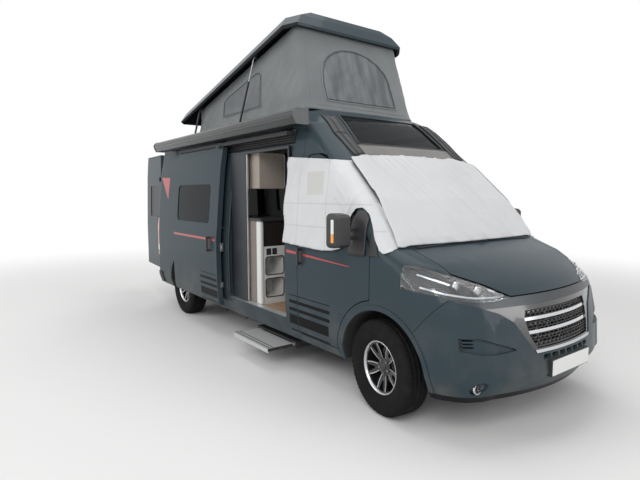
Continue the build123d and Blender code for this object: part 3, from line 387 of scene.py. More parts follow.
# Rays that look for the van's skin start this far ahead of the nose, or out from the middle.
AHEAD, OUTSIDE = 0.5, 1.6
COVER = (0.60, 0.61, 0.625, 1)
COVER_THICK = 0.005
cover_cloth, tree = surface("quilted cover", COVER[:3], 0.46, sheen_weight=0.2)
place = tree.place()
x, y, z = place.parts()
back = nose_x - x
on_flap = (y * y) > 0.86
pocket = back.near(1.78, 0.12) * z.near(1.80, 0.10) * on_flap
rows_sewn = (z.near(1.62, 0.004) + z.near(1.42, 0.004)
             + back.near(1.60, 0.004) + back.near(2.02, 0.004)) * on_flap
soil = place.noise(1.7, 5.0).ramp(0.45, 0.85)
soiled = (soil * 0.5).mix(COVER, (0.50, 0.505, 0.51, 1))
beige = (pocket * 0.5).mix(soiled, (0.47, 0.45, 0.40, 1))
(rows_sewn.maths("MINIMUM", rows_sewn, 1.0) * 0.35).mix(beige, (0.30, 0.30, 0.31, 1)).feed("Base Color")
relief = place.noise(520.0) * 0.25 + pocket * 0.7 - rows_sewn * 0.8 + place.noise(9.0, 3.0) * 2.2
relief.bump(0.5, 0.003).feed("Normal")
(place.noise(40.0, 3.0) * 0.2 + 0.36).feed("Roughness")
piping, tree = surface("cover piping", (0.05, 0.052, 0.055), 0.6)
tree.grain(300.0, 0.3, 0.001)

cover_skin = shell_of("screen_cover")
body_skin = shell_of("cab_frame", "bonnet", "front_wings", "windows", "cab_door_left", "cab_door_right")


def front_place(y, z, stand):
    """A point this far in front of the cover's solid, or of the body below it."""
    for pull in (1.0, 0.99, 0.98, 0.96, 0.94):
        origin = Vector((nose_x + AHEAD, y * pull, z))
        hit = cover_skin.ray_cast(origin, Vector((-1, 0, 0)))[0]
        low = body_skin.ray_cast(origin, Vector((-1, 0, 0)))[0]
        if hit is None and low:
            hit = low + Vector((0.014, 0, 0.006))
        if hit:
            return Vector((hit.x + stand * 0.6, y, hit.z + stand * 0.5))


def rough(a, b, c):
    """Smooth noise at this place."""
    return noise.noise(Vector((a, b, c)))


def drape(across, up, seed):
    """How far a slack cloth stands out where it hangs in long slanting folds."""
    over = 0.86 * across + 0.51 * up
    down = 0.51 * across - 0.86 * up
    broad = rough(over * 3.4, down * 0.7, seed)
    fine = rough(over * 10.0 + 2 * broad, down * 1.3, seed + 5)
    crease = 1 - abs(rough(over * 5.0 + down * 0.8, down * 0.9, seed + 9)) * 6
    return 0.011 + 0.024 * broad + 0.010 * fine + 0.018 * max(0.0, crease) ** 2


front_low = [
    (-0.912, 1.304), (-0.87, 1.300), (-0.80, 1.310), (-0.45, 1.308),
    (0.45, 1.308), (0.80, 1.310), (0.87, 1.300), (0.912, 1.304),
]
front_high = [(-0.838, 2.003), (-0.60, 2.046), (0.60, 2.046), (0.838, 2.003)]
rows = []
for j, row in enumerate(ruled(front_low, front_high, 120, 66)):
    rows.append([front_place(y, z, drape(y, z, 3.0) * min(1, j / 5 + 0.2)) for y, z in row])
sheet_front = thick(cloth("cover_front", rows, cover_cloth, "root"), COVER_THICK)
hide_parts("screen_cover")


def on_side(skin, side, d, z, lift=0.0):
    """The van's side at this place, moved out by a lift; a seam's gap takes its neighbour's place."""
    for step, drop in ((0, 0), (0.012, 0), (-0.012, 0), (0, 0.02), (0, -0.02), (0, 0.05), (0, -0.05),
                       (-0.04, 0.03)):
        hit = skin.ray_cast(at(d + step, side * OUTSIDE, z - drop), Vector((0, -side, 0)))[0]
        if hit and hit.y * side > 0.5:
            return Vector((nose_x - d, hit.y + side * lift, z))


# Cover flaps: each side of the cover wraps the pillar and hangs over the cab door, cut round
# the mirror's foot. It is sewn to the front sheet with a dark piped seam down the pillar.
flap_low = [
    (0.868, 1.285), (0.905, 1.262), (0.955, 1.285), (1.005, 1.360), (1.062, 1.467),
    (1.115, 1.550), (1.180, 1.600), (1.236, 1.592), (1.286, 1.535), (1.322, 1.430),
    (1.342, 1.330), (1.390, 1.262), (1.486, 1.236), (1.642, 1.222), (1.978, 1.236),
    (2.250, 1.245),
]
flap_high = [
    (0.880, 1.335), (0.915, 1.378), (1.014, 1.505), (1.120, 1.634), (1.247, 1.752),
    (1.391, 1.885), (1.502, 1.985), (1.660, 2.003), (1.943, 2.027), (2.245, 2.052),
]
pillar_line = [(0.871, 1.600), (0.858, 1.752), (0.846, 1.885), (0.838, 1.985)]
for side, word in ((1, "left"), (-1, "right")):
    skin = shell_of(f"cover_flap_{word}")
    doors = shell_of(f"cab_door_{word}", f"cab_window_{word}", "cab_frame", f"side_{word}",
                     "front_wings", "windows")
    rows = []
    for row in ruled(flap_low, flap_high, 104, 56):
        line = []
        for d, z in row:
            hit = on_side(doors, side, d, z, 0.015) if d < 1.5 else None
            hit = hit or on_side(skin, side, d, z) or on_side(doors, side, d, z, 0.016)
            out = drape(d * 0.8, z, 8.0 + side) * min(1.0, 0.3 + (d - 0.87) * 2.5)
            line.append(hit + Vector((0, side * out, 0)))
        rows.append(line)
    for _ in range(3):
        for line in rows[1:-1]:
            for i in range(1, len(line) - 1):
                line[i].y = (line[i - 1].y + 2 * line[i].y + line[i + 1].y) / 4
    flap = cloth(f"cover_side_{word}", rows, cover_cloth, None)
    at(1.02, side * 0.95, 1.6)
    at(1.22, side * 0.95, 1.6)
    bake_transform(flap)
    thick(flap, COVER_THICK)
    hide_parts(f"cover_flap_{word}")
    seam = traced(pillar_line, 24, lambda y, z: front_place(side * y, z, 0.012))
    seam = [point + Vector((0, side * 0.004, 0)) for point in seam]
    hem(f"cover_seam_{word}", [seam], 0.0045, piping, "root")

# Tent cloth of the raised roof: coated mid grey fabric, screwed to the high roof at its foot
# and to the raised shell at its top. Its walls are slack, with flared skirts and corner folds.
TILT = math.radians(12.7)
ARM_HEAD_D, ARM_HEAD_Z, SHELL_LIP = 4.800, 2.880, 0.030
TENT_FOOT_Z, SKIRT_TALL, PLEATS_TALL = 2.531, 0.11, 0.3


def rim_height(d):
    """Height of the raised shell's lower rim at this distance."""
    return ARM_HEAD_Z - SHELL_LIP / math.cos(TILT) + (ARM_HEAD_D - d) * math.tan(TILT)


def around(part, front, back, half, corner):
    """A place on a rectangle with round corners, from the middle of the rear, in plan."""
    length, width = back - front, 2 * half
    half_run, turn = ("line", width / 2 - corner), ("turn", corner)
    long_run, wide_run = ("line", length - 2 * corner), ("line", width - 2 * corner)
    runs = [half_run, turn, long_run, turn, wide_run, turn, long_run, turn, half_run]
    total = sum(size if kind == "line" else size * math.pi / 2 for kind, size in runs)
    left = part * total
    place, heading = Vector((back, 0)), Vector((0, 1))
    for kind, size in runs:
        reach = size if kind == "line" else size * math.pi / 2
        share = min(left, reach)
        normal = Vector((heading.y, -heading.x))
        if kind == "line":
            place = place + heading * share
        else:
            centre = place - normal * size
            a = share / size
            place = centre + normal * size * math.cos(a) + heading * size * math.sin(a)
            heading = heading * math.cos(a) - normal * math.sin(a)
        left -= share
        if left <= 1e-9:
            break
    return place, Vector((heading.y, -heading.x))


def tent(part, v, stand=0.0):
    """A point of the tent wall: part of the way round, and 0 at the roof to 1 at the shell."""
    low, out_low = around(part, front=2.262, back=4.975, half=0.722, corner=0.05)
    high, out_high = around(part, front=2.530, back=4.945, half=0.700, corner=0.05)
    place = low.lerp(high, v)
    out = out_low.lerp(out_high, v).normalized()
    top = rim_height(place.x) + 0.030
    z = TENT_FOOT_Z + (top - TENT_FOOT_Z) * v
    tall = max(top - 2.53, 0.05)
    skirt = 0.020 * max(0.0, 1 - v * tall / SKIRT_TALL) ** 2
    wave = math.sin(part * 150 + 2 * rough(part * 20, v * 2, 1))
    pleat = 0.006 * wave * max(0, 1 - v * tall / PLEATS_TALL)
    slack = 0.015 * rough(part * 26, v * tall * 3.2, 4) * math.sin(math.pi * min(max(v, 0), 1))
    drag = 0.014 * (1 - abs(rough(part * 40 + v * tall * 6, v * tall * 2 - part * 9, 7)) * 2)
    push = skirt + pleat + slack + drag * math.sin(math.pi * v) * 0.6 - 0.016 * math.sin(math.pi * v)
    place = place + out * (push + stand)
    return Vector((nose_x - place.x, place.y, z))


tent_cloth, tree = surface("tent cloth", (0.17, 0.185, 0.19), 0.8, sheen_weight=0.25)
threads = tree.place().wave(260.0) * 0.5 + tree.place().wave(260.0, "Z") * 0.5
cloud = tree.place().noise(2.2, 6.0).ramp(0.3, 0.8)
cloud.tint((0.155, 0.17, 0.175), (0.20, 0.215, 0.22))
relief = threads * 0.4 + tree.place().noise(12.0, 4.0) * 1.2 + tree.place().noise(4.0, 3.0) * 3.0
relief.bump(0.5, 0.006).feed("Normal")


def folds(piece):
    """Give a finished piece of the tent its own copy of its mesh."""
    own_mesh(piece)


rows = [[tent(i / 420, j / 40) for i in range(420)] for j in range(41)]
tent_wall = cloth("tent_wall", rows, tent_cloth, "root", closed=True)
tent_skin = BVHTree.FromPolygons([v.co.copy() for v in tent_wall.data.vertices],
                                 [list(p.vertices) for p in tent_wall.data.polygons])
folds(tent_wall)
thick(tent_wall, 0.003, -1.0)
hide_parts("roof_canvas")

# Tent windows: arched insect net sewn into the front and both sides, bound with tape, with a
# zip inside the tape. A thin rail holds the tent's foot to the roof.
net_cloth, tree = surface("insect net", (0.085, 0.092, 0.096), 0.7)
grid = tree.place().wave(420.0) * 0.5 + tree.place().wave(420.0, "Z") * 0.5
fold_height_and_light = tree.place().scaled((1.0, 6.0, 1.2)).noise(1.6, 3.0)
# The net is painted lighter on the crests of its hanging folds and darker in their hollows: painted
# light and shade.
fold_height_and_light.ramp(0.35, 0.7).tint((0.105, 0.113, 0.12), (0.19, 0.20, 0.21))
(grid * 0.3 + fold_height_and_light * 2.0).bump(0.5, 0.004).feed("Normal")
tape, tree = surface("tent tape", (0.195, 0.21, 0.215), 0.75)
tree.grain(240.0, 0.4, 0.001, 2.0)
zip_black, tree = surface("zip", (0.02, 0.02, 0.022), 0.6)
tree.grain(700.0, 0.5, 0.001)


def on_tent(side, across, z, stand):
    """A place on the tent: side 0 is its front, 1 and -1 its left and right walls."""
    if side == 0:
        origin, way = Vector((nose_x - 1.5, across, z)), Vector((-1, 0, 0))
    else:
        origin, way = at(across, side * 1.3, z), Vector((0, -side, 0))
    return tent_skin.ray_cast(origin, way)[0] - way * stand


side_net_low = [(3.22, 2.68), (4.18, 2.68)]
side_net_high = [(3.22, 3.03), (3.27, 3.075), (3.36, 3.07), (4.06, 2.915), (4.15, 2.885), (4.18, 2.83)]
half_arch = [(0.50, 2.82), (0.485, 2.94), (0.44, 3.05), (0.36, 3.135), (0.25, 3.20), (0.13, 3.235)]
arch = [(-a, z) for a, z in half_arch] + [(0.0, 3.245)] + half_arch[::-1]
nets = [
    # name, side, lower edge and upper edge of the net
    ("front", 0, [(-0.50, 2.64), (0.50, 2.64)], arch),
    ("left", 1, side_net_low, side_net_high),
    ("right", -1, side_net_low, side_net_high),
]
for name, side, low, high in nets:
    wide, tall = low[1][0] - low[0][0], max(z for _, z in high) - low[0][1]
    net_rows = [[on_tent(side, a, z, 0.004) for a, z in row] for row in ruled(low, high, 60, 30)]
    net_piece = cloth(f"tent_net_{name}", net_rows, net_cloth, "root")
    folds(net_piece)
    wide * tall * 0.92
    ring = low + high[::-1] + low[:1]
    tape_line = traced(ring, 120, lambda a, z: on_tent(side, a, z, 0.004))
    folds(hem(f"tent_tape_{name}", [tape_line], 0.0075, tape, "root"))
    middle = ((low[0][0] + low[1][0]) / 2, low[0][1] + tall / 2)
    inside = [(middle[0] + (a - middle[0]) * 0.955, middle[1] + (z - middle[1]) * 0.94)
              for a, z in ring]
    zip_line = traced(inside, 120, lambda a, z: on_tent(side, a, z, 0.007))
    folds(hem(f"tent_zip_{name}", [zip_line], 0.003, zip_black, "root"))
seams = [[tent(part, v / 20, 0.002) for v in range(1, 20)] for part in (0.087, 0.413, 0.587, 0.913)]
seams.append([on_tent(0, -0.62 + 1.24 * i / 40, 2.585, 0.004) for i in range(41)])
folds(hem("tent_seams", seams, 0.003, tape, "root"))
rail = [tent(i / 240, 0.0, -0.004) + Vector((0, 0, 0.001)) for i in range(241)]
folds(hem("tent_foot_rail", [rail], 0.004, black_plastic, "root"))

# Tyres: radial road tyres on the van's rims. Moulded rubber with four grooves, shoulder
# blocks and a ribbed side; they replace the plain rings of the solids.
def lathe(name, profile, centre, side, mat, body, steps=64, cut=None):
    """A ring turned about a wheel's axis from (radius, across) points, outward positive."""
    rows = []
    for i, (radius, across) in enumerate(profile):
        row = []
        for k in range(steps):
            turn = 2 * math.pi * k / steps
            r = radius - (cut(i, k) if cut else 0)
            row.append(Vector((r * math.cos(turn), side * across, r * math.sin(turn))))
        rows.append(row)
    piece = cloth(name, rows, mat, body, closed=True)
    piece.matrix_world = centre
    return piece


rubber, tree = surface("tyre rubber", (0.010, 0.010, 0.0105), 0.85, specular_ior_level=0.12)
dirt = tree.place().noise(12.0, 8.0).ramp(0.45, 0.8)
(dirt * 0.4).tint((0.010, 0.010, 0.0105), (0.03, 0.028, 0.026))
x, y, z = tree.place().parts()
radius = (x * x + z * z).maths("SQRT")
ribs = (radius * 900.0).maths("SINE") * (radius < 0.345) * (radius > 0.25)
(ribs * 0.3 + tree.place().noise(400.0, 2.0) * 0.5).bump(0.4, 0.001).feed("Normal")

BLOCKS = 60
tread = [
    # radius, across, and whether a shoulder block's slot is cut there
    (0.2085, -0.0885, 0), (0.2200, -0.0960, 0), (0.2400, -0.1040, 0), (0.2650, -0.1090, 0),
    (0.3000, -0.1124, 0), (0.3300, -0.1105, 0), (0.3490, -0.1060, 1), (0.3610, -0.0980, 1),
    (0.3690, -0.0880, 1), (0.3712, -0.0750, 1), (0.3715, -0.0600, 1), (0.3640, -0.0580, 0),
    (0.3640, -0.0500, 0), (0.3718, -0.0480, 0), (0.3720, -0.0260, 0), (0.3640, -0.0240, 0),
    (0.3640, -0.0150, 0), (0.3720, -0.0130, 0), (0.3720, 0.0130, 0), (0.3640, 0.0150, 0),
    (0.3640, 0.0240, 0), (0.3720, 0.0260, 0), (0.3718, 0.0480, 0), (0.3640, 0.0500, 0),
    (0.3640, 0.0580, 0), (0.3715, 0.0600, 1), (0.3712, 0.0750, 1), (0.3690, 0.0880, 1),
    (0.3610, 0.0980, 1), (0.3490, 0.1060, 1), (0.3300, 0.1105, 0), (0.3000, 0.1124, 0),
    (0.2650, 0.1090, 0), (0.2400, 0.1040, 0), (0.2200, 0.0960, 0), (0.2085, 0.0885, 0),
]


def sipe(i, k):
    """Depth of the slots between the tread blocks; the inner ribs have half of them, set over."""
    if tread[i][2]:
        return 0.006 if k % 4 == 0 else 0
    if 13 <= i <= 22 and abs(tread[i][1]) > 0.014:
        return 0.003 if (k + 2) % 8 == 0 else 0
    return 0


# Rims: black alloy with the five V spokes machined bright on their faces. The solids carry
# the shape; the bright lines, bolts and cap are seated on it.
rim_black, tree = surface("rim black", (0.02, 0.02, 0.022), 0.3, metallic=0.5, coat_weight=0.6)
tree.place().noise(60.0, 4.0).ramp(0.5, 0.9).tint((0.02, 0.02, 0.022), (0.05, 0.048, 0.045))
machined, tree = surface("machined alloy", (0.55, 0.56, 0.58), 0.28, metallic=1.0)
(tree.place().noise(300.0, 2.0) * 0.2 + 0.2).feed("Roughness")
disc_steel, tree = surface("brake disc", (0.28, 0.27, 0.26), 0.42, metallic=0.9)
tree.place().noise(40.0, 5.0).ramp(0.5, 0.8).tint((0.28, 0.27, 0.26), (0.20, 0.14, 0.10))


def face_out(r):
    """How far out the rim's dished front face is at this radius."""
    if r > 0.070:
        return 0.040 + (r - 0.070) * 0.026 / 0.124
    return 0.046 - 0.006 * max(0, r - 0.040) / 0.030


def polar(r, degrees):
    """The place at this radius and angle."""
    a = math.radians(degrees)
    return r * math.cos(a), r * math.sin(a)


def outward(name, points, faces):
    """A mesh whose faces all look outward."""
    mesh = bpy.data.meshes.new(name)
    mesh.from_pydata(points, [], faces)
    bm = bmesh.new()
    bm.from_mesh(mesh)
    bmesh.ops.recalc_face_normals(bm, faces=bm.faces)
    bm.to_mesh(mesh)
    bm.free()
    return mesh


def flats(name, outlines, lift, depth, side, mat, centre, body):
    """Flat plates on the rim's face from outlines of (radius, angle) points."""
    points, faces = [], []
    for outline in outlines:
        start = len(points)
        for level in (lift, lift - depth):
            for r, angle in outline:
                px, pz = polar(r, angle)
                points.append((px, side * (face_out(r) + level), pz))
        n = len(outline)
        faces.append(list(range(start, start + n)))
        faces.append(list(range(start + 2 * n - 1, start + n - 1, -1)))
        for i in range(n):
            k = (i + 1) % n
            faces.append((start + i, start + n + i, start + n + k, start + k))
    return made(name, outward(name, points, faces), mat, body, centre)


STEER = math.radians(-7)
KINGPIN_Y, BOLT_CIRCLE = 0.800, 0.055
axle_z, front_axle, rear_axle = 0.372, 0.948, 4.983
wheels = [
    # name, distance of the axle, half track, side, turn, body that carries the brake
    ("front_left", front_axle, 0.905, 1, STEER, "knuckle_left"),
    ("front_right", front_axle, 0.905, -1, STEER, "knuckle_right"),
    ("rear_left", rear_axle, 0.895, 1, 0.0, "root"),
    ("rear_right", rear_axle, 0.895, -1, 0.0, "root"),
]
# Outlines from the middle outward, as (radius, distance out along the axle).
rim_edge = [(0.1925, 0.062), (0.1935, 0.0672), (0.199, 0.0872), (0.2075, 0.0875), (0.2083, 0.084)]
cap_line = [(0.0005, 0.0545), (0.020, 0.054), (0.027, 0.052), (0.030, 0.048), (0.030, 0.044)]
disc_line = [(0.0005, -0.075), (0.145, -0.075), (0.150, -0.078), (0.150, -0.100), (0.145, -0.103),
             (0.0005, -0.103)]
for name, d, track, side, turn, carrier in wheels:
    pin = at(d, side * KINGPIN_Y, axle_z)
    hub = at(d, side * track, axle_z)
    centre = Matrix.Translation(pin) @ Matrix.Rotation(turn, 4, "Z") @ Matrix.Translation(hub - pin)
    body = f"wheel_{name}"
    profile = [(r, a) for r, a, _ in tread]
    tyre = lathe(f"tread_{name}", profile, centre, side, rubber, body, BLOCKS * 4, sipe)
    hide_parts(f"tyre_{name}")
    dress(rim_black, f"rim_{name}")
    lines = []
    for count in range(5):
        middle = 72 * count + 90
        for way in (1, -1):
            edge = [(74, 13.5), (110, 14.6), (150, 16.6), (186, 19.3)]
            inner = [(186, 22.2), (150, 19.6), (110, 18.0), (74, 18.2)]
            lines.append([(r / 1000, middle + way * a) for r, a in edge + inner])
    flats(f"spoke_lines_{name}", lines, 0.0012, 0.003, side, machined, centre, body)
    lathe(f"rim_ring_{name}", rim_edge, centre, side, machined, body, 96)
    lathe(f"cap_{name}", cap_line, centre, side, rim_black, body, 40)
    heads = bmesh.new()
    for count in range(5):
        px, pz = polar(BOLT_CIRCLE, 72 * count + 54)
        place = Matrix.Translation(Vector((px, side * 0.044, pz)))
        bmesh.ops.create_cone(heads, cap_ends=True, segments=6, radius1=0.0105, radius2=0.0095,
                              depth=0.014, matrix=place @ Matrix.Rotation(math.pi / 2, 4, "X"))
    mesh = bpy.data.meshes.new(f"bolts_{name}")
    heads.to_mesh(mesh)
    heads.free()
    made(f"bolts_{name}", mesh, disc_steel, body, centre)
    if carrier == "root":
        lathe(f"brake_{name}", disc_line, centre, side, disc_steel, "root", 64)

# Grille mesh: a black moulded net in the surround, clipped behind the bright bars.
def strip(name, paths, width, depth, mat, body):
    """Flat bars that follow paths; each section is upright, width high and depth deep."""
    points, faces = [], []
    for path in paths:
        start = len(points)
        for i, p in enumerate(path):
            ahead = path[min(i + 1, len(path) - 1)] - path[max(i - 1, 0)]
            level = Vector((1, 0, 0)) - ahead * (ahead.x / max(ahead.length_squared, 1e-12))
            level = level.normalized() * depth / 2
            lift = ahead.cross(level).normalized() * width / 2
            points += [p + level + lift, p + level - lift, p - level - lift, p - level + lift]
        for i in range(len(path) - 1):
            a = start + i * 4
            for k in range(4):
                faces.append((a + k, a + (k + 1) % 4, a + 4 + (k + 1) % 4, a + 4 + k))
        faces.append((start, start + 1, start + 2, start + 3))
        end = start + (len(path) - 1) * 4
        faces.append((end + 3, end + 2, end + 1, end))
    return made(name, outward(name, points, faces), mat, body)


mesh_half = [(0, 0.640), (0.352, 0.640), (0.400, 0.720), (0.430, 0.840), (0.412, 0.905)]


def mesh_reach(z):
    """How far the grille's opening goes from the centre line at this height."""
    for (y_a, z_a), (y_b, z_b) in zip(mesh_half[1:], mesh_half[2:]):
        if z_a <= z <= z_b:
            return y_a + (y_b - y_a) * (z - z_a) / (z_b - z_a)
    return mesh_half[-1][0]


front_skin = shell_of("front_bumper", "grille", "nose_band", "headlamps", "bonnet", "front_wings",
                      "grille_bars")


def on_front(skin, y, z, lift=0.0):
    """The point of the van's front at this place, moved out by a lift."""
    hit, normal, _, _ = skin.ray_cast(Vector((nose_x + AHEAD, y, z)), Vector((-1, 0, 0)))
    return hit + normal * lift if hit else None


def net_depth(y, z):
    """X of the net's front, a smooth bow that follows the nose."""
    nose = 0.022 + (z - 0.640) * 0.254 if z > 0.640 else 0.022
    bow = (0.118 - 0.005) * (y / 0.68) ** 2
    return nose_x - nose - bow - 0.020


net = []
z = 0.652
row = 0
while z < 0.900:
    reach = mesh_reach(z) - 0.002
    net.append([Vector((net_depth(reach * t / 12, z), reach * t / 12, z)) for t in range(-12, 13)])
    y = -0.45 + (0.024 if row % 2 else 0.0)
    while y < 0.45:
        if abs(y) < mesh_reach(z + 0.010) - 0.004 and z + 0.020 < 0.903:
            net.append([Vector((net_depth(y, z), y, z)),
                        Vector((net_depth(y, z + 0.020), y + 0.004, z + 0.020))])
        y += 0.048
    z += 0.020
    row += 1
strip("grille_net", net, 0.0055, 0.007, black_plastic, "root")

# Dark plates behind the bumper's slots and side vents, painted shade for their depth, and the three
# slats of each vent.
def block(bm, low, high):
    """A box between two corners."""
    middle = (Vector(low) + Vector(high)) / 2
    size = Vector(high) - Vector(low)
    bmesh.ops.create_cube(bm, size=1, matrix=Matrix.Translation(middle) @ Matrix.Diagonal((*size, 1)))


def finished(bm, name, mat, body, bevel=0.0, segments=2):
    """A piece from a bmesh, with rounded edges, riding on a body."""
    mesh = bpy.data.meshes.new(name)
    bm.to_mesh(mesh)
    bm.free()
    piece = made(name, mesh, mat)
    if bevel:
        edge = piece.modifiers.new("round", "BEVEL")
        edge.width = bevel
        edge.segments = segments
        edge.limit_method = "ANGLE"
        edge.harden_normals = False
    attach(piece, body)
    return piece


# The dark plates are painted shade: they stand in for the shade deep in the slots and vents.
slot_shade = bmesh.new()
for k in range(-3, 4):
    x = on_front(front_skin, k * 0.09 + 0.041, 0.574).x - 0.030
    block(slot_shade, (x - 0.004, k * 0.09 - 0.044, 0.554), (x, k * 0.09 + 0.044, 0.594))
for side in (1, -1):
    for z in (0.689, 0.712, 0.735):
        y0, y1 = sorted((side * 0.832, side * 0.918))
        x = on_front(front_skin, side * 0.828, z).x - 0.055
        block(slot_shade, (x - 0.06, y0, z - 0.009), (x, y1, z + 0.009))
finished(slot_shade, "bumper_slot_shade", dark_gloss, "root")

# Headlamps: clear polycarbonate covers over black bowls, with a lens in each round lamp, a
# bright reflector round it and a daytime strip along the lower edge. Fog lamps sit in the bumper.
clear, tree = surface("clear cover", (0.9, 0.92, 0.94), 0.02, ior=1.45, transmission_weight=0.9,
                      coat_weight=0.5, alpha=0.32)
dress(clear, "headlamps")
lens_glass, tree = surface("lamp lens", (0.75, 0.80, 0.84), 0.05, metallic=0.35, coat_weight=1.0)
tree.place().noise(15.0, 2.0).ramp(0.2, 0.8).tint((0.35, 0.40, 0.45), (0.85, 0.88, 0.9))
bowl_skin, lamp_skin = shell_of("headlamp_bowls"), shell_of("headlamps")


def dome(bm, centre, radius, bulge, rings=6, steps=28):
    """A shallow dome that faces forward."""
    rows = []
    for j in range(rings + 1):
        a = math.pi / 2 * j / rings
        out, r = bulge * math.sin(a), radius * math.cos(a)
        rows.append([bm.verts.new(centre + Vector((out, r * math.cos(t), r * math.sin(t))))
                     for t in (2 * math.pi * k / steps for k in range(steps))])
    for j in range(rings):
        for k in range(steps):
            n = (k + 1) % steps
            bm.faces.new((rows[j][k], rows[j][n], rows[j + 1][n], rows[j + 1][k]))


def rim_of(bm, centre, radius, across, depth, steps=32):
    """A bright ring round a lamp, square in section."""
    rows = []
    for r, x in ((radius, depth), (radius + across, depth), (radius + across, -depth), (radius, -depth)):
        rows.append([bm.verts.new(centre + Vector((x, r * math.cos(t), r * math.sin(t))))
                     for t in (2 * math.pi * k / steps for k in range(steps))])
    for j in range(4):
        for k in range(steps):
            n = (k + 1) % steps
            bm.faces.new((rows[j][k], rows[(j + 1) % 4][k], rows[(j + 1) % 4][n], rows[j][n]))


lenses, rings = bmesh.new(), bmesh.new()
lamp_places = [(0.705, 1.036, 0.031), (0.815, 1.066, 0.033)]
for side in (1, -1):
    for y, z, radius in lamp_places:
        rim_x = on_front(bowl_skin, side * (y + radius + 0.005), z)
        centre = Vector((rim_x.x - 0.022, side * y, z))
        dome(lenses, centre, radius, 0.018)
        rim_of(rings, centre + Vector((0.012, 0, 0)), radius + 0.001, 0.008, 0.006)
    rim_of(rings, on_front(lamp_skin, side * 0.812, 0.411), 0.034, 0.007, 0.006)
finished(lenses, "lamp_lenses", lens_glass, "root")
finished(rings, "lamp_rings", chrome, "root")

# Bright reflector strips and the daytime strip in each bowl, just behind the clear cover.
reflectors = []
for side in (1, -1):
    for line in ([(0.56, 1.000), (0.66, 1.003), (0.80, 1.008), (0.93, 1.030), (1.00, 1.060)],
                 [(0.875, 1.085), (0.930, 1.115), (0.975, 1.140)],
                 [(0.600, 1.030), (0.640, 1.050)]):
        path = []
        for i in range(13):
            y, z = along(line, i / 12)
            hit = on_front(lamp_skin, side * y, z)
            if hit:
                path.append(hit + Vector((-0.012, -side * 0.006, 0)))
        if len(path) > 2:
            reflectors.append(path)
strip("lamp_reflectors", reflectors, 0.012, 0.006, lens_glass, "root")

# Tail lamps: red lenses with amber and clear zones over ribbed optics.
tail, tree = surface("tail lamp", (0.40, 0.01, 0.01), 0.08, coat_weight=1.0)
z = tree.place().parts()[2]
amber = (z > 1.14) * (z < 1.24)
white = (z > 0.84) * (z < 0.92)
coloured = amber.mix((0.40, 0.01, 0.012, 1), (0.75, 0.22, 0.02, 1))
white.mix(coloured, (0.7, 0.7, 0.7, 1)).feed("Base Color")
(z * 700.0).maths("SINE").bump(0.3, 0.001).feed("Normal")
dress(tail, "tail_lamps")

# Blank plate on the bumper: pressed aluminium with a black holder, screwed at its seat.
plate_white, tree = surface("blank plate", (0.75, 0.75, 0.74), 0.35, coat_weight=0.3)
tree.grain(500.0, 0.08, 0.0004)
plate_x = max(on_front(front_skin, y, 0.492).x for y in (0.0, 0.2, -0.2))
for name, half, tall, near, mat, rounding in (
        ("plate_holder", 0.267, 0.062, 0.008, black_plastic, 0.003),
        ("plate_blank", 0.260, 0.055, 0.012, plate_white, 0.002)):
    bm = bmesh.new()
    block(bm, (plate_x - 0.030, -half, 0.490 - tall), (plate_x + near, half, 0.490 + tall))
    finished(bm, name, mat, "root", rounding)

# Mirrors: grained black cases with glass at the back and an amber repeater on the edge.
def boxes(name, corners, mat, body, rounding=0.003, segments=2):
    """Moulded boxes between pairs of (distance, left, height) corners, in one piece."""
    bm = bmesh.new()
    for (d_a, y_a, z_a), (d_b, y_b, z_b) in corners:
        block(bm, (nose_x - max(d_a, d_b), min(y_a, y_b), min(z_a, z_b)),
              (nose_x - min(d_a, d_b), max(y_a, y_b), max(z_a, z_b)))
    return finished(bm, name, mat, body, rounding, segments)


mirror_glass, tree = surface("mirror glass", (0.75, 0.77, 0.78), 0.02, metallic=1.0)
repeater, tree = surface("repeater lens", (0.8, 0.45, 0.12), 0.12, coat_weight=0.8)
(tree.place().parts()[2] > 1.40).tint((0.85, 0.35, 0.04), (0.75, 0.75, 0.74))
for side, word in ((1, "left"), (-1, "right")):
    glass_corners = ((1.2925, side * 1.107, 1.300), (1.2955, side * 1.242, 1.542))
    boxes(f"mirror_glass_{word}", [glass_corners], mirror_glass, f"cab_door_{word}", 0.004)
    lens_corners = ((1.215, side * 1.236, 1.330), (1.245, side * 1.2575, 1.510))
    boxes(f"mirror_repeater_{word}", [lens_corners], repeater, f"cab_door_{word}", 0.006)

# Red stripes, the red triangle and the black lines low on the right side: thin vinyl
# stuck on the panels.
def panels(name, outlines, place, mat, body, depth, smooth=False):
    """Thin panels between pairs of lines, whose points a function puts on the van."""
    points, faces = [], []
    for low, high, across, up in outlines:
        start = len(points)
        points += [place(*spot) for row in ruled(low, high, across, up) for spot in row]
        for j in range(up):
            for i in range(across):
                a = start + j * (across + 1) + i
                faces.append((a, a + 1, a + across + 2, a + across + 1))
    mesh = bpy.data.meshes.new(name)
    mesh.from_pydata(points, [], faces)
    mesh.polygons.foreach_set("use_smooth", [smooth] * len(mesh.polygons))
    return thick(made(name, mesh, mat, body), depth)


VINYL_LIFT, VINYL_THICK = 0.0012, 0.0008


def vinyl(name, outlines, skin_nodes, mat, body):
    """Vinyl patches from pairs of (distance, height) lines, laid on the van's right side."""
    skin = shell_of(*skin_nodes)

    def stuck(d, z):
        hit = skin.ray_cast(at(d, -OUTSIDE, z), Vector((0, 1, 0)))[0]
        return hit + Vector((0, -VINYL_LIFT, 0)) if hit else at(d, -1.03, z)

    return panels(name, outlines, stuck, mat, body, VINYL_THICK)


def band(d_from, d_to, z_from, z_to):
    """The outline of a straight stripe."""
    return [(d_from, z_from), (d_to, z_from)], [(d_from, z_to), (d_to, z_to)], 14, 2


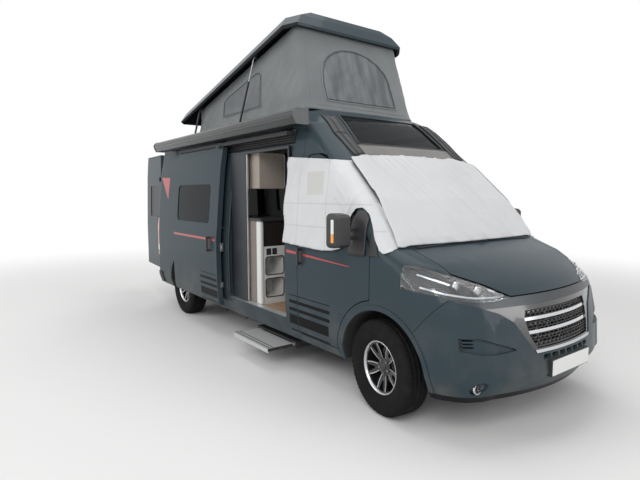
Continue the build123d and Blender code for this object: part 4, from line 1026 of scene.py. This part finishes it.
red_vinyl, tree = surface("red vinyl", (0.42, 0.03, 0.035), 0.35, coat_weight=0.4)
tree.place().noise(3.0, 5.0).ramp(0.4, 0.8).tint((0.42, 0.03, 0.035), (0.33, 0.035, 0.04))
black_vinyl, tree = surface("black vinyl", (0.010, 0.010, 0.011), 0.4, specular_ior_level=0.06)
tree.grain(30.0, 0.05, 0.001, 3.0)
LINE_ROWS = ((0.745, 0.752), (0.672, 0.702), (0.598, 0.628))
stripe = ([(1.30, 1.118), (2.225, 1.150)], [(1.30, 1.124), (2.225, 1.178)], 24, 2)
triangle = ([(5.525, 1.622), (5.535, 1.622)], [(5.495, 1.935), (5.860, 1.950)], 8, 10)
vinyl("stripe_front", [stripe], ("cab_door_right", "side_right", "cab_frame"), red_vinyl,
      "cab_door_right")
vinyl("stripe_rear", [band(3.60, 4.93, 1.150, 1.178)], ("sliding_door",), red_vinyl, "root")
vinyl("triangle", [triangle], ("side_right",), red_vinyl, "root")
for name, d_from, d_to, foot, skin_node, body in (
        ("foot_lines", 1.56, 2.036, band(1.58, 2.036, 0.398, 0.560), "cab_door_right", "cab_door_right"),
        ("foot_lines_pillar", 2.052, 2.19, band(2.052, 2.19, 0.398, 0.560), "side_right", "root"),
        ("foot_lines_door", 3.58, 4.05, band(3.58, 4.05, 0.41, 0.560), "sliding_door", "root")):
    lines = [band(d_from, d_to, *heights) for heights in LINE_ROWS]
    vinyl(name, lines + [foot], (skin_node,), black_vinyl, body)

# Skylight surround: a satin trim panel below the glass, ribbed side strips and a rubber frame,
# clipped over the front of the high roof.
def front_patch(name, patches, skin, lift, depth, mat, body):
    """Panels over the van's front between pairs of (left, height) lines."""
    return panels(name, patches, lambda y, z: on_front(skin, y, z, lift), mat, body, depth, smooth=True)


brow_skin = shell_of("cab_frame", "windows", "roof_panel")
brow_trim, tree = surface("header trim", (0.105, 0.10, 0.092), 0.36, coat_weight=0.25)
tree.grain(500.0, 0.12, 0.0006)
tree.place().noise(2.5, 4.0).ramp(0.3, 0.8).tint((0.10, 0.096, 0.09), (0.15, 0.143, 0.13))
front_patch("header_trim", [([(-0.70, 2.030), (-0.45, 2.040), (0.45, 2.040), (0.70, 2.030)],
                             [(-0.615, 2.146), (0.615, 2.146)], 60, 6)],
            brow_skin, 0.004, 0.004, brow_trim, "root")
ribbed, tree = surface("ribbed strip", (0.016, 0.017, 0.018), 0.45)
y = tree.place().parts()[1]
folded = y.maths("ABSOLUTE")
(folded * 300.0).maths("SINE").bump(0.6, 0.004).feed("Normal")
(folded.near(0.700, 0.012) * 0.2 + 0.35).feed("Roughness")
front_patch("brow_strips", [
    ([(side * 0.622, 2.052), (side * 0.752, 2.034)],
     [(side * 0.625, 2.250), (side * 0.775, 2.250)], 14, 12) for side in (1, -1)] + [
    ([(side * 0.625, 2.250), (side * 0.775, 2.250)],
     [(side * 0.600, 2.448), (side * 0.735, 2.436)], 14, 12) for side in (1, -1)],
    brow_skin, 0.006, 0.006, ribbed, "root")
ribs = []
for side in (1, -1):
    for low_y, mid_y, high_y in ((0.626, 0.630, 0.605), (0.690, 0.705, 0.668), (0.748, 0.770, 0.730)):
        line = [(side * low_y, 2.05), (side * mid_y, 2.25), (side * high_y, 2.44)]
        ribs.append(traced(line, 24, lambda y, z: on_front(brow_skin, y, z, 0.010)))
hem("brow_ribs", ribs, 0.0055, black_plastic, "root")
frame_line = [(-0.590, 2.152), (0.590, 2.152), (0.532, 2.462), (-0.532, 2.462), (-0.590, 2.152)]
frame_path = traced(frame_line, 160, lambda y, z: on_front(brow_skin, y, z, 0.003))
hem("skylight_frame", [frame_path], 0.010, black_plastic, "root")

# Door handles: black moulded pull bars on two feet over a flat plate, screwed to each cab
# door and to the sliding door.
def grip(name, d, z, side, skin_nodes, body, tall=0.165, wide=0.070):
    """A pull handle that stands upright over its recessed plate."""
    skin = shell_of(*skin_nodes)
    y = on_side(skin, side, d, z).y
    bm = bmesh.new()
    ys = sorted((y - side * 0.004, y + side * 0.005))
    block(bm, (nose_x - d - wide / 2, ys[0], z - tall / 2),
          (nose_x - d + wide / 2, ys[1], z + tall / 2))
    bars = [(0.005, 0.045, tall / 2 - 0.030, tall / 2 - 0.008),
            (0.005, 0.045, -tall / 2 + 0.008, -tall / 2 + 0.030),
            (0.030, 0.048, -tall / 2 + 0.006, tall / 2 - 0.006)]
    for near, far, low, high in bars:
        ys = sorted((y + side * near, y + side * far))
        block(bm, (nose_x - d - 0.014, ys[0], z + low), (nose_x - d + 0.014, ys[1], z + high))
    finished(bm, name, black_plastic, body, 0.006, 3)


grip("handle_cab_right", 1.985, 1.135, -1, ["cab_door_right"], "cab_door_right")
grip("handle_cab_left", 1.985, 1.135, 1, ["cab_door_left"], "cab_door_left")
grip("handle_slide", 3.745, 1.110, -1, ["sliding_door"], "root", 0.190, 0.110)

# Fuel flap: a flush square lid on the left side with a dark gap round it.
side_skin = shell_of("side_left")
lid = [
    (2.14, 0.93), (2.14, 1.08), (2.16, 1.10), (2.30, 1.10), (2.32, 1.08),
    (2.32, 0.93), (2.30, 0.91), (2.16, 0.91), (2.14, 0.93),
]
gap_path = traced(lid, 80, lambda d, z: on_side(side_skin, 1, d, z, 0.0005))
hem("fuel_flap_gap", [gap_path], 0.0022, zip_black, "root")

# Door seal: a black rubber bead pressed round the side opening.
seal_line = [
    (2.262, 0.56), (2.262, 2.09), (2.275, 2.135), (2.31, 2.163), (2.36, 2.168),
    (3.40, 2.168), (3.46, 2.155), (3.488, 2.10), (3.488, 0.56),
]
opening_skin = shell_of("side_right")
seal = []
for i in range(161):
    d, z = along(seal_line, i / 160)
    away = Vector((d - 2.875, z - 1.33)).normalized() * 0.030
    hit = on_side(opening_skin, -1, d + away.x, z + away.y)
    seal.append(Vector((nose_x - d, hit.y + 0.014, z)))
hem("opening_seal", [seal], 0.011, black_plastic, "root")

# Cowl grille: black slatted panel between the bonnet and the screen, its slats across the van.
cowl_skin = shell_of("cab_frame", "bonnet", "windows")
slats = []
for d in (0.822, 0.836, 0.850, 0.864, 0.878):
    line = []
    for i in range(49):
        y = -0.74 + 1.48 * i / 48
        hits = [cowl_skin.ray_cast(Vector((nose_x - d - step, y, 2.0)), Vector((0, 0, -1)))[0]
                for step in (0, 0.015, -0.015)]
        height = next(hit.z for hit in hits if hit)
        line.append(Vector((nose_x - d, y, height + 0.003)))
    slats.append(line)
hem("cowl_slats", slats, 0.0042, black_plastic, "root")

# Mirror feet: moulded black corner plates at the front of each door window, in two pieces
# that part at the door's edge.
def side_plate(name, low, high, across, up, side, skin, lift, depth, mat, body):
    """A moulded plate laid on the van's side between two (distance, height) lines."""
    rows = [[on_side(skin, side, d, z, lift) for d, z in row] for row in ruled(low, high, across, up)]
    return thick(cloth(name, rows, mat, body), depth)


for side, word in ((1, "left"), (-1, "right")):
    around_foot = shell_of(f"cab_door_{word}", f"cab_window_{word}", "cab_frame", "front_wings",
                           "windows")
    side_plate(f"mirror_corner_{word}", [(0.962, 1.232), (1.068, 1.229)],
               [(0.975, 1.262), (1.030, 1.385), (1.068, 1.455)],
               10, 14, side, around_foot, 0.005, 0.006, black_plastic, "root")
    side_plate(f"mirror_sail_{word}", [(1.106, 1.229), (1.300, 1.222)],
               [(1.106, 1.520), (1.160, 1.578), (1.212, 1.572), (1.262, 1.510), (1.300, 1.400)],
               12, 16, side, around_foot, 0.012, 0.014, black_plastic, f"cab_door_{word}")

# Side doorway: fly-screen cassette and its track, the ribbed rail cover above, a brushed
# threshold strip and the door's latch, all screwed round the opening.
screen_navy, tree = surface("screen cassette", (0.010, 0.014, 0.019), 0.4)
tree.grain(600.0, 0.15, 0.0006)
brushed, tree = surface("brushed aluminium", (0.56, 0.57, 0.58), 0.35, metallic=0.9)
grain = tree.place().scaled((4.0, 400.0, 400.0)).noise(1.0, 3.0)
(grain * 0.3 + 0.2).feed("Roughness")
grain.tint((0.50, 0.51, 0.52), (0.64, 0.65, 0.66))
boxes("screen_cassette", [((3.125, -0.968, 0.508), (3.488, -0.934, 2.140)),
                          ((2.268, -0.966, 2.136), (3.488, -0.936, 2.166)),
                          ((2.268, -0.964, 0.508), (2.290, -0.938, 2.140))], screen_navy, "root", 0.005)
boxes("screen_edge", [((3.112, -0.962, 0.512), (3.124, -0.940, 2.134))], brushed, "root", 0.002)
boxes("threshold", [((2.275, -1.000, 0.4995), (3.475, -0.958, 0.5055)),
                    ((2.275, -0.958, 0.4995), (3.475, -0.930, 0.509))], brushed, "root", 0.002)
rail_cover, tree = surface("rail cover", (0.014, 0.015, 0.016), 0.4)
z = tree.place().parts()[2]
(z * 290.0).maths("SINE").bump(0.8, 0.006).feed("Normal")
side_plate("rail_cover", [(2.225, 2.186), (3.600, 2.186)], [(2.225, 2.308), (3.600, 2.308)], 30, 8, -1,
           shell_of("side_right", "roof_panel"), 0.006, 0.010, rail_cover, "root")
boxes("door_latch", [((3.556, -1.085, 1.030), (3.563, -1.045, 1.130)),
                     ((3.550, -1.072, 1.060), (3.560, -1.058, 1.100)),
                     ((3.556, -1.085, 0.600), (3.563, -1.050, 0.660))], chrome, "root", 0.002)

# Kitchen block: laminate carcass with a dark worktop, a dark glass front above white shelf
# fronts, a rounded white corner post and a strip with two switches.
WORKTOP_Z = 1.409
kitchen, tree = surface("kitchen laminate", (0.66, 0.66, 0.65), 0.4)
x, y, z = tree.place().parts()
d = nose_x - x
top = z > WORKTOP_Z
panel = (d < 2.886) * (z > 1.135) * (1 - top) * (y > -0.9)
flank = (y < -0.925) * (d > 2.965) * (1 - top)
wood = tree.place().scaled((1.0, 1.0, 14.0)).noise(3.0, 5.0)
taupe = wood.mix((0.175, 0.142, 0.126, 1), (0.225, 0.185, 0.165, 1))
specks = tree.place().noise(380.0, 2.0).ramp(0.45, 0.65)
stone = specks.mix((0.018, 0.018, 0.02, 1), (0.045, 0.045, 0.048, 1))
carcass = flank.mix((0.66, 0.66, 0.65, 1), taupe)
fronts = panel.mix(carcass, (0.022, 0.018, 0.016, 1))
top.mix(fronts, stone).feed("Base Color")
(0.42 - panel * 0.25).feed("Roughness")
tree.grain(300.0, 0.06, 0.0005)
dress(kitchen, "kitchen_unit")
white_gloss, tree = surface("white laminate", (0.70, 0.70, 0.69), 0.25, coat_weight=0.4)
tree.grain(200.0, 0.05, 0.0005)
boxes("corner_post", [((2.866, -0.944, 0.504), (2.960, -0.896, 1.408))], white_gloss, "root", 0.018, 4)
boxes("switches", [((2.874, -0.862, 1.042), (2.882, -0.802, 1.112)),
                   ((2.874, -0.788, 1.042), (2.882, -0.728, 1.112))], dark_gloss, "root", 0.004)
boxes("switch_rockers", [((2.870, -0.850, 1.052), (2.876, -0.814, 1.102)),
                         ((2.870, -0.776, 1.052), (2.876, -0.740, 1.102))],
      black_plastic, "root", 0.003)
shelf_rims = []
for z_from, z_to in ((0.575, 0.780), (0.820, 1.020)):
    ring = [(-0.872, z_from + 0.02), (-0.872, z_to - 0.02), (-0.852, z_to), (-0.660, z_to),
            (-0.640, z_to - 0.02), (-0.640, z_from + 0.02), (-0.660, z_from), (-0.852, z_from),
            (-0.872, z_from + 0.02)]
    shelf_rims.append([at(2.879, y, z) for y, z in ring])
hem("shelf_rims", shelf_rims, 0.006, black_plastic, "root")
boxes("worktop_edge", [((2.852, -0.936, 1.411), (2.862, -0.406, 1.439)),
                       ((2.862, -0.942, 1.411), (4.118, -0.932, 1.439))], black_plastic, "root", 0.003)
boxes("sink_cover", [((3.05, -0.80, 1.4395), (3.42, -0.50, 1.446)),
                     ((3.52, -0.80, 1.4395), (3.98, -0.50, 1.446))], dark_gloss, "root", 0.004)

# Overhead lockers over the kitchen: laminated boxes with lift-up doors and push buttons.
locker, tree = surface("locker laminate", (0.33, 0.285, 0.245), 0.45)
tree.place().scaled((1.0, 1.0, 12.0)).noise(2.5, 5.0).tint((0.29, 0.25, 0.215), (0.36, 0.31, 0.27))
tree.grain(250.0, 0.06, 0.0005)
boxes("locker_body", [((2.950, -0.900, 1.760), (4.100, -0.580, 2.150))], locker, "root", 0.008)
boxes("locker_doors", [((2.960 + k * 0.380, -0.580, 1.772), (3.330 + k * 0.380, -0.560, 2.138))
                       for k in range(3)], white_gloss, "root", 0.006)
boxes("locker_buttons", [((3.130 + k * 0.380, -0.562, 1.790), (3.160 + k * 0.380, -0.552, 1.806))
                         for k in range(3)], chrome, "root", 0.003)

# Floor: oak-look vinyl boards on the van's black underbody, whose rails carry surface rust.
BOARD_WIDE, FLOOR_Z = 0.16, 0.497
chassis, tree = surface("underbody", (0.018, 0.018, 0.019), 0.7)
_, y, z = tree.place().parts()
indoors = (z > FLOOR_Z) * (tree.facing().parts()[2] > 0.5)
boards = (y / BOARD_WIDE).maths("FRACT")
gap = boards.near(0.0, 0.012)
wood = tree.place().scaled((1.2, 22.0, 1.0)).noise(2.0, 6.0)
oak = wood.ramp(0.3, 0.7).mix((0.30, 0.19, 0.105, 1), (0.46, 0.31, 0.18, 1))
patches = tree.place().noise(7.0, 8.0).ramp(0.58, 0.78)
rust = patches.mix((0.018, 0.018, 0.019, 1), (0.10, 0.06, 0.035, 1))
planks = gap.mix(oak, (0.10, 0.065, 0.04, 1))
indoors.mix(rust, planks).feed("Base Color")
(0.75 - indoors * 0.3).feed("Roughness")
dress(chassis, "underbody")

# Cab seats: foam pads in dark woven fabric with grey sides, on black moulded pedestals.
def pad(name, centre, size, lean, mat, body, crown=0.22, pinch=0.05):
    """A stuffed pad: a rounded, crowned block whose sides pull in between its corners."""
    bm = bmesh.new()
    bmesh.ops.create_cube(bm, size=2)
    bmesh.ops.subdivide_edges(bm, edges=bm.edges[:], cuts=11, use_grid_fill=True)
    turned = Matrix.Rotation(lean, 4, "Y")
    thin = min(range(3), key=lambda axis: size[axis])
    wide = [axis for axis in range(3) if axis != thin]
    for v in bm.verts:
        p = list(v.co)
        power = sum(abs(c) ** 6 for c in p) ** (1 / 6)
        p = [c / power for c in p]
        a, b = p[wide[0]], p[wide[1]]
        p[thin] *= 1 + crown * (1 - a * a) * (1 - b * b)
        p[wide[0]] *= 1 - pinch * (1 - b * b) * abs(a)
        p[wide[1]] *= 1 - pinch * (1 - a * a) * abs(b)
        v.co = turned @ Vector([c * s / 2 for c, s in zip(p, size)])
    for face in bm.faces:
        face.smooth = True
    piece = finished(bm, name, mat, body)
    piece.matrix_world = Matrix.Translation(centre)
    piece.modifiers.new("smooth", "SUBSURF").levels = 1
    return piece


seat_fabric, tree = surface("seat fabric", (0.030, 0.032, 0.035), 0.85, sheen_weight=0.3)
weft = tree.place().wave(300.0) + tree.place().wave(300.0, "Y")
tree.place().noise(60.0, 3.0).tint((0.024, 0.026, 0.029), (0.045, 0.047, 0.05))
(weft * 0.3 + tree.place().noise(30.0, 3.0)).bump(0.4, 0.002).feed("Normal")
seat_side, tree = surface("seat side cloth", (0.16, 0.155, 0.15), 0.8, sheen_weight=0.2)
tree.grain(400.0, 0.4, 0.0015, 2.0)
tree.place().noise(5.0, 4.0).tint((0.14, 0.135, 0.13), (0.19, 0.185, 0.18))
seat_parts = []
for side, word in ((1, "left"), (-1, "right")):
    mid = side * 0.505
    lean = math.radians(10.2)
    seat_parts += [
        pad(f"seat_squab_{word}", at(1.765, mid, 0.935), (0.45, 0.36, 0.135), math.radians(3),
            seat_fabric, "root"),
        pad(f"seat_back_{word}", at(2.045, mid, 1.275), (0.125, 0.34, 0.60), -lean,
            seat_fabric, "root"),
        pad(f"seat_head_{word}", at(2.105, mid, 1.690), (0.10, 0.26, 0.17), -lean,
            seat_fabric, "root", 0.15),
    ]
    for way, place in ((1, "out"), (-1, "in")):
        seat_parts += [
            pad(f"seat_bolster_{word}_{place}", at(1.765, mid + way * 0.205, 0.945),
                (0.44, 0.095, 0.155), math.radians(3), seat_side, "root", 0.1),
            pad(f"seat_wing_{word}_{place}", at(2.030, mid + way * 0.200, 1.260),
                (0.155, 0.095, 0.56), -lean, seat_side, "root", 0.1),
        ]
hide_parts("cab_seats")
base_corners = []
for side in (1, -1):
    base_corners += [((1.640, side * 0.290, 0.502), (1.990, side * 0.720, 0.835)),
                     ((1.600, side * 0.270, 0.835), (1.990, side * 0.740, 0.862)),
                     ((2.050, side * 0.455, 1.540), (2.066, side * 0.470, 1.640)),
                     ((2.050, side * 0.540, 1.540), (2.066, side * 0.555, 1.640))]
boxes("seat_bases", base_corners, black_plastic, "root", 0.014, 3)

# Dashboard: grained black moulding with a meter hood, centre screen, vents and steering wheel.
dash, tree = surface("dashboard", (0.020, 0.021, 0.023), 0.6)
(tree.place().noise(450.0) + tree.place().noise(70.0, 3.0) * 0.5).bump(0.35, 0.001).feed("Normal")
tree.place().noise(4.0, 4.0).tint((0.018, 0.019, 0.021), (0.03, 0.031, 0.034))
dress(dash, "dashboard")
boxes("meter_hood", [((1.110, 0.230, 1.225), (1.290, 0.610, 1.300)),
                     ((1.150, -0.150, 1.190), (1.320, 0.150, 1.255))], dash, "root", 0.025, 4)
boxes("dash_screen", [((1.318, -0.120, 1.010), (1.330, 0.120, 1.170)),
                      ((1.288, 0.260, 1.232), (1.294, 0.580, 1.290))], dark_gloss, "root", 0.006)
vents = [((1.310, side * y - 0.045, 1.100), (1.322, side * y + 0.045, 1.160))
         for y in (0.200, 0.740) for side in (1, -1)]
vents.append(((1.320, -0.10, 0.900), (1.336, 0.10, 0.985)))
boxes("dash_vents", vents, black_plastic, "root", 0.008)
wheel_centre = at(1.430, 0.420, 1.170)
wheel_turn = Matrix.Rotation(math.radians(38), 3, "Y")
ring = []
for k in range(61):
    t = 2 * math.pi * k / 60
    ring.append(wheel_centre + wheel_turn @ Vector((0, 0.188 * math.cos(t), 0.188 * math.sin(t))))
hem("steering_wheel", [ring], 0.016, dash, "root")
spokes = []
for angle in (10, 170, 262, 278):
    t = math.radians(angle)
    out = wheel_turn @ Vector((0, 0.182 * math.cos(t), 0.182 * math.sin(t)))
    spokes.append([wheel_centre + Vector((0.012, 0, -0.010)),
                   wheel_centre + out * 0.5 + Vector((0.006, 0, -0.005)), wheel_centre + out])
spokes.append([wheel_centre + Vector((0.010, 0, -0.008)), wheel_centre + Vector((0.110, 0, -0.070))])
hem("steering_spokes", spokes, 0.014, dash, "root")
pad_centre = bmesh.new()
bmesh.ops.create_uvsphere(pad_centre, u_segments=24, v_segments=14, radius=0.062)
for v in pad_centre.verts:
    v.co = wheel_turn @ Vector((v.co.x * 0.45, v.co.y * 1.15, v.co.z)) + wheel_centre
finished(pad_centre, "steering_hub", dash, "root")
lever = [at(1.335, 0.10, 1.02), at(1.385, 0.10, 1.075), at(1.400, 0.10, 1.110)]
hem("gear_lever", [lever], 0.013, dark_gloss, "root")

# Rear bed: two sprung mattress pads in pale quilted ticking on a slatted board, with lockers
# below on both sides.
ticking, tree = surface("mattress ticking", (0.50, 0.47, 0.42), 0.85, sheen_weight=0.2)
x, y, z = tree.place().parts()
tuft_height_and_shade = ((x * 39.0).maths("SINE") * (y * 39.0).maths("SINE")).maths("ABSOLUTE")
(tuft_height_and_shade * 1.2 + tree.place().noise(300.0) * 0.2).bump(0.6, 0.006).feed("Normal")
# The ticking is painted darker into the hollows of its quilting: painted shade.
tuft_height_and_shade.ramp(0.0, 0.3).tint((0.40, 0.375, 0.335), (0.52, 0.49, 0.44))
halves = [pad(f"mattress_{word}", at(5.020, side * 0.441, 1.122), (1.61, 0.872, 0.118), 0.0,
              ticking, "root", 0.08, 0.004)
          for side, word in ((1, "left"), (-1, "right"))]
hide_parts("rear_bed")
birch, tree = surface("bed board", (0.42, 0.33, 0.22), 0.55)
tree.place().scaled((1.0, 16.0, 16.0)).noise(3.0, 6.0).tint((0.36, 0.28, 0.185), (0.48, 0.385, 0.265))
tree.grain(90.0, 0.1, 0.001, 4.0)
slats = [((4.205 + k * 0.1085, -0.885, 1.040), (4.275 + k * 0.1085, 0.885, 1.058)) for k in range(15)]
rails_below = [((4.200, side * 0.860, 1.010), (5.838, side * 0.888, 1.040)) for side in (1, -1)]
rails_below += [((4.200, -0.015, 1.010), (5.838, 0.015, 1.040))]
boxes("bed_slats", slats + rails_below, birch, "root", 0.004)
boxes("bed_lockers", [((4.300, side * 0.482, 0.503), (5.800, side * 0.538, 1.010))
                      for side in (1, -1)], locker, "root", 0.004)
doors = [((4.330 + k * 0.49, side * 0.470, 0.540), (4.790 + k * 0.49, side * 0.483, 0.980))
         for k in range(3) for side in (1, -1)]
boxes("bed_locker_doors", doors, white_gloss, "root", 0.004)

# Awning: extruded anthracite case under the roof edge, with dark lips along its lead rail and
# three feet that hold it to the side.
awning_metal, tree = surface("awning case", (0.013, 0.015, 0.017), 0.34, metallic=0.3,
                             coat_weight=0.3, coat_roughness=0.2)
streaks = tree.place().scaled((0.4, 6.0, 6.0)).noise(2.0, 5.0).ramp(0.4, 0.8)
streaks.tint((0.013, 0.015, 0.017), (0.028, 0.030, 0.033))
tree.grain(700.0, 0.08, 0.0005)
dress(awning_metal, "awning")
case_skin = shell_of("awning")
grooves = []
for z, stand in ((2.345, 0.002), (2.372, 0.003), (2.425, 0.001)):
    line = []
    for i in range(61):
        d = 1.95 + 3.62 * i / 60
        hit = case_skin.ray_cast(at(d, -1.4, z), Vector((0, 1, 0)))[0]
        line.append(Vector((nose_x - d, hit.y - stand, z)))
    grooves.append(line)
hem("awning_lips", grooves, 0.004, dark_gloss, "root")
boxes("awning_feet", [((2.30 + k * 1.48, -0.995, 2.318), (2.42 + k * 1.48, -0.960, 2.352))
                      for k in range(3)], black_plastic, "root", 0.004)

# Entry step: pale anodised tread with two dark grip strips and plastic ends.
step_top, tree = surface("step tread", (0.55, 0.56, 0.56), 0.42, metallic=0.35)
tree.place().scaled((3.0, 120.0, 120.0)).noise(1.0, 3.0).tint((0.50, 0.51, 0.51), (0.60, 0.61, 0.61))
wear = tree.place().noise(30.0, 5.0)
(wear * 0.3 + 0.3).feed("Roughness")
dress(step_top, "step_tread")
boxes("step_grips", [((2.262, -1.206, 0.2305), (2.938, -1.197, 0.2335)),
                     ((2.262, -1.166, 0.2305), (2.938, -1.157, 0.2335))],
      zip_black, "entry_step", 0.001)
boxes("step_ends", [((2.2425, -1.230, 0.203), (2.2475, -0.945, 0.2325)),
                    ((2.9525, -1.230, 0.203), (2.9575, -0.945, 0.2325))],
      black_plastic, "entry_step", 0.002)

# Below the floor: a steel exhaust with its silencer, moulded fuel and waste tanks, the
# straps that hold the waste tank, and the rear leaf springs.
pipe, tree = surface("exhaust steel", (0.24, 0.225, 0.21), 0.5, metallic=0.9)
tree.place().noise(14.0, 8.0).ramp(0.42, 0.7).tint((0.26, 0.25, 0.24), (0.16, 0.085, 0.05))
pipe_front = [(1.05, 0.22, 0.345), (1.40, 0.22, 0.325), (1.75, 0.10, 0.318), (2.30, 0.04, 0.316),
              (2.90, 0.04, 0.316)]
pipe_rear = [(3.50, 0.04, 0.316), (4.10, 0.06, 0.316), (4.45, 0.16, 0.310), (4.80, 0.20, 0.262),
             (5.20, 0.20, 0.266), (5.45, 0.30, 0.310), (5.70, 0.36, 0.318)]
hem("exhaust", [[at(*spot) for spot in run] for run in (pipe_front, pipe_rear)], 0.027, pipe, "root")
silencer = bmesh.new()
bmesh.ops.create_cone(silencer, cap_ends=True, segments=32, radius1=0.075, radius2=0.075, depth=0.62,
                      matrix=Matrix.Translation(at(3.20, 0.04, 0.316))
                      @ Matrix.Rotation(math.pi / 2, 4, "Y"))
finished(silencer, "silencer", pipe, "root", 0.020, 3)
tank, tree = surface("tank plastic", (0.022, 0.022, 0.023), 0.5)
tree.place().noise(5.0, 6.0).ramp(0.5, 0.8).tint((0.022, 0.022, 0.023), (0.07, 0.065, 0.055))
boxes("fuel_tank", [((1.95, 0.24, 0.225), (2.85, 0.760, 0.436)),
                    ((2.05, 0.30, 0.215), (2.75, 0.700, 0.240))], tank, "root", 0.035, 4)
boxes("waste_tank", [((3.20, -0.82, 0.225), (4.15, -0.18, 0.436)),
                     ((3.30, -0.72, 0.212), (4.05, -0.28, 0.240))], tank, "root", 0.030, 4)
strap = [(-0.845, 0.436), (-0.830, 0.222), (-0.170, 0.222), (-0.155, 0.436)]
hem("spring_straps", [[at(d, y, z) for y, z in strap] for d in (3.42, 3.93)], 0.007, steel, "root")
leaves = []
for side in (1, -1):
    for drop, reach in ((0.0, 0.60), (0.014, 0.48), (0.028, 0.34)):
        bow = 0.060 * (reach / 0.60) ** 2
        leaves.append([at(rear_axle + reach * t, side * 0.650, 0.330 - drop + bow * t * t)
                       for t in (k / 8 - 1 for k in range(17))])
strip("leaf_springs", leaves, 0.010, 0.062, steel, "root")

# Rear: pull handle by the shut line, high brake lamp over the doors, hinge plates on the
# left door's outer edge and a rubber bead down the shut line.
back_skin = shell_of("rear_door_left", "roof_panel", "side_left", "side_right", "rear_bumper")


def on_back(y, z, lift=0.0):
    """The place on the van's tail at this height and distance to the left."""
    hit = back_skin.ray_cast(at(6.6, y, z), Vector((1, 0, 0)))[0]
    return Vector((hit.x - lift, y, z))


bm = bmesh.new()
seat = on_back(0.085, 1.10)
block(bm, (seat.x - 0.006, 0.045, 1.005), (seat.x + 0.004, 0.125, 1.195))
block(bm, (seat.x - 0.030, 0.072, 1.025), (seat.x - 0.005, 0.098, 1.175))
finished(bm, "handle_rear", black_plastic, "rear_door_left", 0.006, 3)
bm = bmesh.new()
seat = on_back(0.0, 2.345)
block(bm, (seat.x - 0.016, -0.17, 2.328), (seat.x + 0.012, 0.17, 2.362))
finished(bm, "brake_lamp_case", black_plastic, "root", 0.006, 3)
bm = bmesh.new()
block(bm, (seat.x - 0.020, -0.15, 2.335), (seat.x - 0.013, 0.15, 2.355))
finished(bm, "brake_lamp", tail, "root", 0.003)
bm = bmesh.new()
for z in (0.66, 1.24, 2.00):
    seat = on_back(0.700, z)
    block(bm, (seat.x - 0.010, 0.668, z - 0.045), (seat.x + 0.004, 0.732, z + 0.045))
finished(bm, "rear_hinge_plates", black_plastic, "rear_door_left", 0.004)
shut_line = [on_back(0.030, 0.56 + 1.66 * k / 40, 0.002) for k in range(41)]
hem("rear_seal", [shut_line], 0.004, black_plastic, "rear_door_left")

# Stage: pale floor, white studio and soft light. The camera stands where the photo's did.
def seen_rays(tree):
    """1 for rays from the camera, off gloss or through glass, and 0 for the rest."""
    path = tree.make("ShaderNodeLightPath").socket.node.outputs
    lens_ray, glossy_ray, glass_ray = (Wire(tree.tree, path[name]) for name in (
        "Is Camera Ray", "Is Glossy Ray", "Is Transmission Ray"))
    return lens_ray.maths("MAXIMUM", lens_ray.maths("MAXIMUM", lens_ray, glossy_ray), glass_ray)


world = bpy.data.worlds.new("studio")
bpy.context.scene.world = world
world.use_nodes = True
tree = Wire(world.node_tree)
background = world.node_tree.nodes["Background"]
background.inputs["Color"].default_value = (1, 1, 1, 1)
strength = 0.36 + seen_rays(tree) * 0.64
world.node_tree.links.new(strength.socket, background.inputs["Strength"])

floor_mat, tree = surface("studio floor", (0.80, 0.80, 0.795), 0.85)
reach = tree.make("ShaderNodeVectorMath", out="Value", put={0: tree.place()}, operation="LENGTH")
glow = tree.make("ShaderNodeEmission", put={"Color": (1, 1, 1, 1), "Strength": 1.0})
plain = Wire(floor_mat.node_tree, floor_mat.node_tree.nodes["Principled BSDF"].outputs[0])
fade = reach.ramp(3.5, 11.0) * seen_rays(tree)
blend = tree.make("ShaderNodeMixShader", put={0: fade, 1: plain, 2: glow})
floor_out = floor_mat.node_tree.nodes["Material Output"]
floor_mat.node_tree.links.new(blend.socket, floor_out.inputs["Surface"])
bpy.ops.mesh.primitive_plane_add(size=80, location=(0, 0, -0.001))
floor = bpy.context.object
floor.name = "studio_floor"
floor.data.materials.append(floor_mat)

lights = [
    # name, place, aim, size, power
    ("key", (7.5, -7.0, 6.5), (1.0, 0, 1.2), 5.0, 420),
    ("side", (-3.0, -9.0, 5.0), (-1.0, 0, 1.2), 6.0, 260),
    ("front", (10.5, 3.5, 3.5), (2.5, 0, 1.2), 4.0, 190),
    ("top", (0.0, 0.0, 9.0), (0.0, 0, 2.0), 7.0, 320),
    ("back", (-9.0, 6.0, 5.0), (-2.0, 0, 1.2), 5.0, 240),
]
for name, place, aim, size, power in lights:
    lamp = bpy.data.lights.new(name, "AREA")
    lamp.size = size
    lamp.energy = power
    holder = bpy.data.objects.new(name, lamp)
    facing = (Vector(aim) - Vector(place)).to_track_quat("-Z", "Y")
    holder.matrix_world = Matrix.Translation(place) @ facing.to_matrix().to_4x4()
    bpy.context.scene.collection.objects.link(holder)

yaw, pitch, roll = math.radians(143.2451), math.radians(5.5085), math.radians(-0.0186)
ahead = Vector((math.cos(yaw) * math.cos(pitch), math.sin(yaw) * math.cos(pitch), -math.sin(pitch)))
level = Vector((math.sin(yaw), -math.cos(yaw), 0))
rise = level.cross(ahead)
right = level * math.cos(roll) + rise * math.sin(roll)
upward = rise * math.cos(roll) - level * math.sin(roll)
PHOTO_FOCAL, PHOTO_WIDE = 485.0, 640
lens = bpy.data.cameras.new("photo")
lens.sensor_width = 36
lens.lens = PHOTO_FOCAL / PHOTO_WIDE * lens.sensor_width
camera = bpy.data.objects.new("photo", lens)
turn = Matrix((right, upward, -ahead)).transposed().to_4x4()
camera.matrix_world = Matrix.Translation(at(-1.66126, -3.52582, 1.71063)) @ turn
bpy.context.scene.collection.objects.link(camera)
scene = bpy.context.scene
scene.camera = camera
scene.view_settings.view_transform = "Standard"
